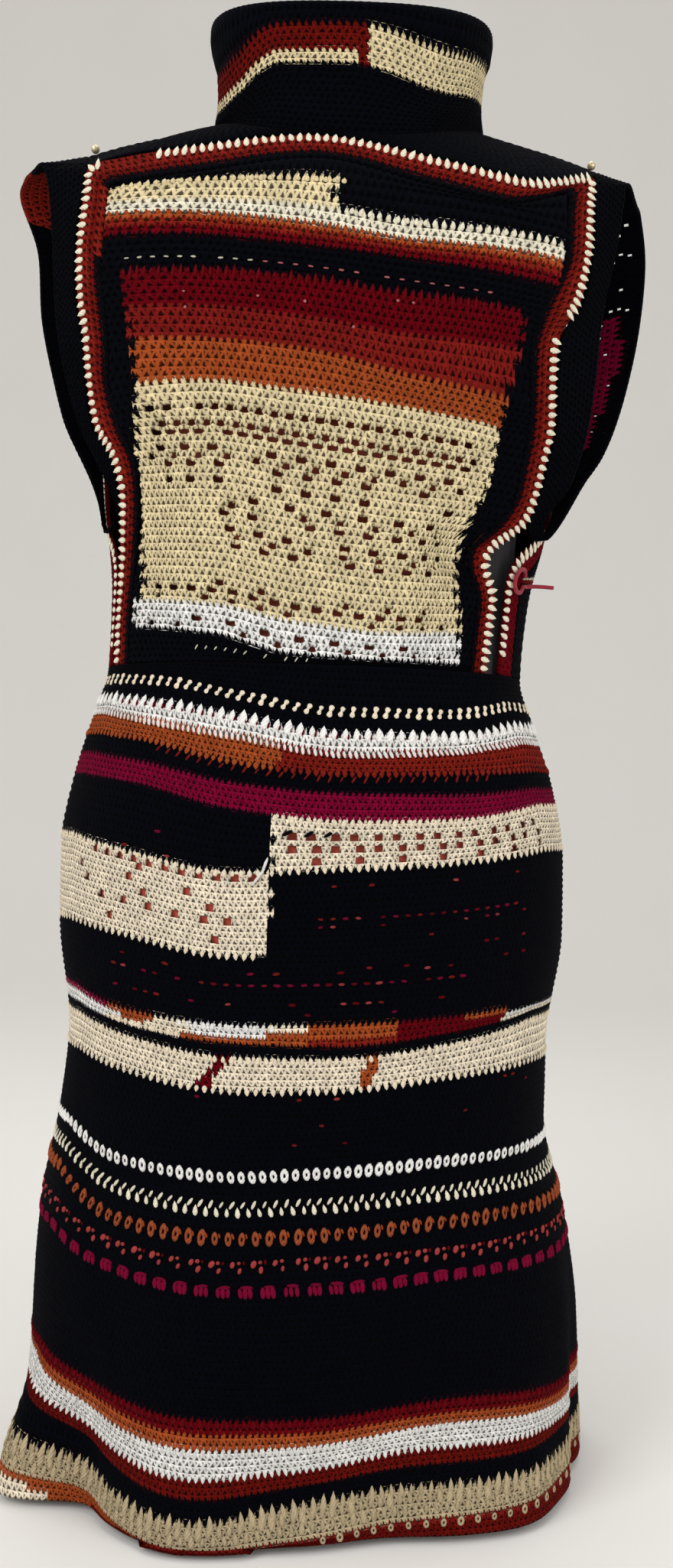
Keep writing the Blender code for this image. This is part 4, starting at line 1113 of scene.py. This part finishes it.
@lru_cache(None)
def openStitch(row, stitch):
    across, height = panelSpot((stitch + 0.5) / bodice["stitches"], row + 0.5)
    margin = bodice["margin"]
    if not bodice["left"](height) + margin < across < bodice["right"](height) - margin:
        return False
    down = 36 - row
    dice = random.Random(row * 131 + stitch).random()
    if down in eyelets:
        step, start = eyelets[down]
        few = 0.95 if down < 9 else 0.72
        if 13 <= down <= 19:
            few = 0.85 if -0.07 < across < 0.09 else 0.15
        return stitch % step == start and dice < few
    return row in (6, 7) and (stitch + row * 2) % 5 == 0 and dice < 0.75


# the two side edges run a little way under the edging
def bodicePlace(share, row):
    across, height = panelSpot(share, row)
    tuck = bodice["tuck"] if share in (0.0, 1.0) and row < bodiceRows - 2 else 0.0
    across += math.copysign(tuck, share - 0.5)
    angle = backAngle(across, height)
    return bodyPoint(angle, height, creasePush(angle, height) - tuck * bodice["tuckDepth"])


clothPiece("bodice_back", "crochet_tan", bodice["stitches"], bodiceRows, bodicePlace, bodiceBackYarn,
           cells=(4, 3), holes=bodiceHole, relief=0.0006, stretch=0.95)


def bodiceStuds(shape, yarn, row, pitch, size, start, end, turn=0.0, keep=1.0, jitter=0.2):
    made = []
    share = start
    while share < end:
        across, height = panelSpot(share, row)
        angle = backAngle(across, height)
        out = bodyNormal(angle, height)
        ahead = bodicePlace(share + 0.01, row) - bodicePlace(share - 0.01, row)
        up = ahead.cross(out).normalized()
        if up.z < 0:
            up = -up
        if hairs.random() < keep:
            grow = 1.0 + hairs.uniform(-jitter, jitter)
            name = yarn if isinstance(yarn, str) else yarn(share)
            made.append(Stud(shape, bodicePlace(share, row) + out * bodice["proud"], out, up,
                             (size[0], size[1], size[2] * grow), name, turn + hairs.uniform(-0.1, 0.1)))
        share += pitch / (ahead.length / 0.02)
    return made


bodiceTrim = []
bodiceTrim += bodiceStuds("bead", lambda share: "ivory" if share < 0.3 else "pink", 53.1, 0.0108,
                          (0.0046, 0.0010, 0.0013), 0.03, 0.86, keep=0.9)
bodiceTrim += bodiceStuds("spike", "crimson", 51.2, 0.0058, (0.0030, 0.0016, 0.0080), 0.05, 0.90, jitter=0.5)
bodiceTrim += bodiceStuds("spike", "ivory", 61.4, 0.0066, (0.0038, 0.0020, 0.0060), 0.52, 0.98, turn=-0.15)
bodiceTrim += bodiceStuds("spike", "tan", 64.2, 0.0066, (0.0040, 0.0018, 0.0050), 0.03, 0.50)
for row, keep in ((50.2, 0.10), (48.2, 0.10), (46.0, 0.05)):
    bodiceTrim += bodiceStuds("bead", "pink", row, 0.0112, (0.0026, 0.0010, 0.0020), 0.08, 0.86, keep=keep)
bodiceTrim += bodiceStuds("bead", "ivory", 2.6, 0.0075, (0.0012, 0.0010, 0.0036), 0.22, 0.52,
                          turn=-0.5, keep=0.8)
studPiece("raised_bodice", bodiceTrim)


# A narrow edging between two lines, with a picot on each stitch but the bare ones. A picot's foot
# and top are shares of the way across.
edging = {"pitch": 0.0066, "foot": 0.62, "top": 1.04, "width": 0.0046, "depth": 0.0026, "stretch": 1.25,
          "shortest": 0.0078, "longest": 0.0098, "proud": 0.0003}


def strip(name, inner, outer, rows, yarnAt, sheet, bare):
    slot = "crochet_rust"
    _, length = evenPlaces(outer, 4)
    stitches = round(length / edging["pitch"])
    places, _ = evenPlaces(outer, stitches * 2)

    def place(share, row):
        at = places[round(share * stitches * 2)]
        return through(inner, at).lerp(through(outer, at), row / rows)

    clothPiece(name, slot, stitches, rows, place, yarnAt, cells=(2, 2),
               holes=lambda row, share, i, j: j == rows * 2 - 1)
    picots = []
    for k in range(stitches):
        if any(start < k / stitches < end for start, end in bare):
            continue
        at = places[2 * k + 1]
        foot, top = (through(inner, at).lerp(through(outer, at), edging[end]) for end in ("foot", "top"))
        ahead = (through(outer, places[2 * k + 2]) - through(outer, places[2 * k])).normalized()
        out = ahead.cross(top - foot).normalized()
        if out.dot(foot - Vector((0.0, 0.0, foot.z))) < 0:
            out = -out
        up = out.cross(ahead).normalized()
        up *= math.copysign(1.0, up.dot(top - foot))
        grow = 1.0 + hairs.uniform(-0.12, 0.12)
        tall = clamp((top - foot).dot(up) * edging["stretch"], edging["shortest"], edging["longest"]) * grow
        picots.append(Stud("spike", foot.lerp(top, 0.5) + out * edging["proud"], out, up,
                           (edging["width"], edging["depth"], tall), "ivory", hairs.uniform(-0.18, 0.18)))
    studPiece("picots_" + name, picots)


def backEdgingLines():
    width = backBand(1, 1.0)
    lines = {}
    for side in (-1, 1):
        _, top = backCorner(side)
        for inset in (0.0, width):
            band = 0.0 if inset == 0.0 else 1.0
            lines[side, inset > 0] = [
                bodyPoint(*backSpot(backEdge(side, h) - side * band * backBand(side, h), h))
                for h in edgeHeights(coat["waist"] + coat["seam"] / 2, top - inset)]
    left, right = backCorner(-1)[0], backCorner(1)[0]
    columns = ([left * k / backStations for k in range(backStations, 0, -1)]
               + [right * k / backStations for k in range(backStations + 1)])
    outerTop, innerTop = [], []
    for across in columns:
        share = (across - columns[0]) / (columns[-1] - columns[0])
        low = backTop(across) - width
        first, end = backEdge(-1, low) + backBand(-1, low), backEdge(1, low) - backBand(1, low)
        outerTop.append(bodyPoint(*backSpot(across, backTop(across))))
        innerTop.append(bodyPoint(*backSpot(blend(first, end, share), low)))
    return (lines[-1, True] + innerTop + lines[1, True][::-1],
            lines[-1, False] + outerTop + lines[1, False][::-1])


def edgingYarn(row, share):
    if row == 0:
        return "rust" if 0.27 < share < 0.317 else "navy"
    return "russet" if row == 1 else "rust"


strip("back_edging", *backEdgingLines(), 5, edgingYarn, Sheet((1.12, 0.026), "bodice_back"),
      bare=((0.326, 0.366), (0.750, 0.767)))
for side, word in sideName.items():
    path = frontEdgePath(side)
    inner, outer = ([bodyPoint(*spot) for spot in line] for line in (insetPath(path, frontBand), path))
    strip("front_edging_" + word, inner, outer, 4, lambda row, share: "crimson",
          Sheet((0.50, 0.021), "bodice_front_" + word), bare=((-0.01, 0.02), (0.98, 1.01)))


frontStripes = {12: "rust", 13: "rust", 14: "ivory", 26: "orange", 27: "orange", 28: "rust", 40: "crimson",
                41: "crimson", 42: "tan", 43: "tan"}


def bodiceFront(side, word):
    edge = insetPath(frontEdgePath(side), frontBand + coat["seam"])
    line = [Vector((angle, height, max(row.opening, height) if row.height > coat["waist"] else height))
            for (angle, height), row in zip(edge, frontTable)]
    line.append(Vector((*edge[-1], frontTop(side * 179.0, 0.96))))
    rows = 58

    def place(share, row):
        at = row / rows * (len(line) - 1)
        angle, height, opening = through(line, at)
        turn = blend(angle, side * coat["opening"], share)
        level = blend(height, opening, share)
        if at > len(line) - 2:
            level = blend(level, frontTop(turn, level), smooth(at - len(line) + 2))
        return bodyPoint(turn, level, creasePush(turn, level))

    clothPiece("bodice_front_" + word, "crochet_navy", 36, rows, place,
               lambda row, share: frontStripes.get(row, "navy"), cells=(2, 2))


for side, word in sideName.items():
    bodiceFront(side, word)


sleeve = {"stitches": 132, "rows": 9, "pinholes": 0.07, "ripple": 0.0022,
          "foot": {-1: 0.14, 1: 0.36}, "taper": {-1: 0.105, 1: 0.050}}


def sleevePiece(side, word):
    loop = armholeLoop(side)
    seam, rim = [entry[0] for entry in loop], [entry[1] for entry in loop]
    places, _ = evenPlaces([a.lerp(b, 0.6) for a, b in loop], sleeve["stitches"] * 2, closed=True)
    heart = sum(seam, Vector()) / len(seam)

    def place(share, row):
        at = places[round(share * sleeve["stitches"] * 2)] % len(loop)
        t = row / sleeve["rows"]
        point = through(seam, at, True).lerp(through(rim, at, True), t)
        outward = point - heart
        outward.x = 0.0
        ripple = math.sin(at * 1.9 + side) + 0.6 * math.sin(at * 0.8 + 2.0)
        point += outward.normalized() * sleeve["ripple"] * ripple * t * t
        foot = through(seam, at, True)                      # it narrows to the underarm
        rise = smooth((foot.z - mouth["underarm"]) / sleeve["taper"][side])
        return foot.lerp(point, blend(sleeve["foot"][side], 1.0, rise))

    def yarnAt(row, share):
        if side > 0 and 0.585 < share < 0.765 and row < 6.4 - max((0.71 - share) * 20, (share - 0.71) * 15):
            return "magenta"
        if side < 0 and 0.84 < share < 0.945 and row > 1:
            return "rust"
        return "navy"

    def pinhole(row, share, i, j):
        return (side > 0 and 3 < row < 8 and 0.50 < share < 0.90 and j % 2 == 0
                and random.Random(i * 13 + row).random() < sleeve["pinholes"])

    clothPiece("sleeve_" + word, "crochet_navy", sleeve["stitches"], sleeve["rows"], place, yarnAt,
               cells=(2, 2), closed=True, holes=pinhole)


for side, word in sideName.items():
    sleevePiece(side, word)

yoke = {"stitches": 150, "rows": 14, "steps": 6}
stations = yokeOutline(-1)[::-1] + yokeOutline(1)[1:]
yokeLines = [[yokeSpot(station, k / yoke["steps"]) for station in stations]
             for k in range(yoke["steps"] + 1)]
yokePlaces, _ = evenPlaces(yokeLines[4], yoke["stitches"] * 2)


def yokePlace(share, row):
    at = yokePlaces[round(share * yoke["stitches"] * 2)]
    return through([through(line, at) for line in yokeLines], row / yoke["rows"] * yoke["steps"])


clothPiece("yoke", "crochet_navy", yoke["stitches"], yoke["rows"], yokePlace, lambda row, share: "navy",
           cells=(2, 2))


# the collar sags below its rim by the droop, and its stripe changes yarn at the break
collar = {"stitches": 112, "rows": 20, "breakAngle": 6.0, "end": 177.0}
collarRise = smoothCurve([0, 11, 17, 20], [-0.012, 0.55, 0.825, 1.0])
collarSag = smoothCurve([0, 11, 17, 20], [0.0, 1.0, 0.84, 0.0])
collarDroop = smoothCurve([-177, -100, -73, -53, -43, -30, 0, 14, 23, 33, 48, 90, 177],
                          [0.30, 0.43, 0.42, 0.27, 0.13, 0.02, 0.0, 0.05, 0.11, 0.18, 0.24, 0.25, 0.20])


def collarPlace(share, row):
    angle = blend(-collar["end"], collar["end"], share)
    return collarPoint(angle, collarRise(row) - collarSag(row) * collarDroop(angle))


def collarYarn(row, share):
    angle = blend(-collar["end"], collar["end"], share)
    if 11 <= row <= 16:
        if angle < collar["breakAngle"] + (1.5 if row % 2 else 0.0):
            return "tan" if row <= 12 and angle < collar["breakAngle"] - 2.5 else "russet"
        return "tan"
    return "navy"


clothPiece("collar", "crochet_navy", collar["stitches"], collar["rows"], collarPlace, collarYarn,
           cells=(2, 2))


def dress(node, finish):
    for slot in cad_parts[node].material_slots:
        slot.material = finish.material


jersey = Finish("jersey cover", 0.9, Sheen_Weight=0.15)
fine = jersey.noise(900.0, detail=2.0)
_, depth, level = jersey.axes(jersey.place())
above = jersey.range(level, 0.56, 0.61)                    # brown above the waist
paintedShadeInFront = jersey.range(depth, -0.07, -0.045)               # painted shade: near black at the sides and in front
# below the waist: the cover's own patchy red, made brighter as painted light so the eyelets read lit
redWithPaintedLight = jersey.mix(jersey.noise(24.0), linear(206, 92, 74), linear(170, 66, 54))
behind = jersey.mix(above, redWithPaintedLight, linear(150, 66, 44))
jersey.feed("Base Color", jersey.mix(paintedShadeInFront, behind, linear(22, 16, 20)))
jersey.bump(fine, 0.0004)
dress("form_torso", jersey)

wood = Finish("turned walnut", 0.38, Coat_Weight=0.25)
grain = wood.stretched(1.0, 9.0, 9.0)
ring = wood.noise(26.0, grain, detail=5.0)
wood.feed("Base Color", wood.mix(wood.range(ring, 0.35, 0.68), linear(40, 26, 20), linear(88, 56, 38)))
wood.bump(ring, 0.0003)
dress("form_neck_cap", wood)

steel = Finish("satin steel", 0.32, Metallic=0.9)
brushed = steel.stretched(1.0, 1.0, 0.03)
steel.feed("Base Color", steel.mix(steel.noise(700.0, brushed), linear(150, 150, 152), linear(178, 178, 180)))
steel.feed("Roughness", steel.range(steel.noise(500.0, brushed), 0.3, 0.7, 0.26, 0.42))
dress("form_pole", steel)

powder = Finish("powder coat", 0.55, Metallic=0.3)
orange = powder.noise(1400.0, detail=1.0)
powder.feed("Base Color", powder.mix(powder.noise(60.0), linear(34, 34, 36), linear(46, 46, 48)))
powder.feed("Roughness", powder.range(powder.noise(30.0), 0.3, 0.7, 0.48, 0.62))
powder.bump(orange, 0.00025)
dress("form_base", powder)

pearl = Finish("pin head", 0.22, Metallic=0.55, Coat_Weight=0.6)
pearl.feed("Base Color", pearl.mix(pearl.noise(300.0), linear(196, 176, 130), linear(224, 210, 176)))
dress("shoulder_pin_left", pearl)
dress("shoulder_pin_right", pearl)

tieYarn = Finish("tie yarn", 0.85, Sheen_Weight=0.15)
tieYarn.feed("Base Color", tieYarn.mix(tieYarn.noise(500.0), linear(120, 8, 30), linear(150, 20, 44)))
tieYarn.bump(tieYarn.noise(1500.0), 0.0004)
dress("side_tie", tieYarn)
print("form and stand dressed")


studio = {"floor": (236, 234, 230), "halfWidth": 9.0, "depth": 16.0, "front": 6.5, "bend": 2.2, "radius": 1.8,
          "key": 30.0, "fill": 16.0, "top": 12.0, "world": 0.62}
floor = Finish("studio floor", 0.9)
floor.feed("Base Color", floor.mix(floor.noise(3.0), linear(*studio["floor"]), linear(240, 238, 235)))
bm = bmesh.new()
bmesh.ops.create_grid(bm, x_segments=12, y_segments=60, size=1.0)
bend, radius = studio["bend"], studio["radius"]
for vert in bm.verts:
    x, t = vert.co.x * studio["halfWidth"], (vert.co.y + 1.0) / 2.0
    run = t * studio["depth"] - studio["front"]             # towards the back, then up a round sweep
    turn = clamp((run - bend) / radius, 0.0, math.pi / 2)
    y = run if run < bend else bend + radius * math.sin(turn)
    z = 0.0 if run < bend else radius * (1 - math.cos(turn)) + max(0.0, run - bend - radius * math.pi / 2)
    vert.co = (x, y, z - 0.0005)
mesh = bpy.data.meshes.new("sweep")
bm.to_mesh(mesh)
bm.free()
mesh.shade_smooth()
mesh.materials.append(floor.material)
sweep = bpy.data.objects.new("sweep", mesh)
bpy.context.collection.objects.link(sweep)


def softLight(name, place, aim, size, watts):
    lamp = bpy.data.lights.new(name, "AREA")
    lamp.shape, lamp.size, lamp.size_y, lamp.energy = "RECTANGLE", size[0], size[1], watts
    made = bpy.data.objects.new(name, lamp)
    made.location = place
    made.rotation_euler = (Vector(aim) - Vector(place)).to_track_quat("-Z", "Y").to_euler()
    bpy.context.collection.objects.link(made)


softLight("keyLight", (-1.5, -1.6, 1.7), (0.0, 0.0, 0.6), (1.2, 1.6), studio["key"])
softLight("fillLight", (1.7, -1.3, 1.1), (0.0, 0.0, 0.55), (1.0, 1.8), studio["fill"])
softLight("topLight", (0.0, 0.3, 2.4), (0.0, 0.0, 0.6), (1.6, 1.6), studio["top"])
world = bpy.data.worlds.new("studio")
bpy.context.scene.world = world
world.use_nodes = True
world.node_tree.nodes["Background"].inputs[0].default_value = (1.0, 0.985, 0.96, 1.0)
world.node_tree.nodes["Background"].inputs[1].default_value = studio["world"]
bpy.context.scene.view_settings.view_transform = "Standard"

view = {"lens": 30.56, "sensor": 36.0, "place": Vector((0.0169, -1.05, 0.52)), "pitch": 90.0, "roll": 1.75}
lens = bpy.data.cameras.new("camera")
lens.lens, lens.sensor_width, lens.sensor_fit = view["lens"], view["sensor"], "AUTO"
camera = bpy.data.objects.new("camera", lens)
camera.matrix_world = (Matrix.Translation(axis + view["place"])
                       @ Matrix.Rotation(math.radians(view["pitch"]), 4, "X")
                       @ Matrix.Rotation(math.radians(view["roll"]), 4, "Z"))
bpy.context.collection.objects.link(camera)
bpy.context.scene.camera = camera

bpy.context.view_layer.update()
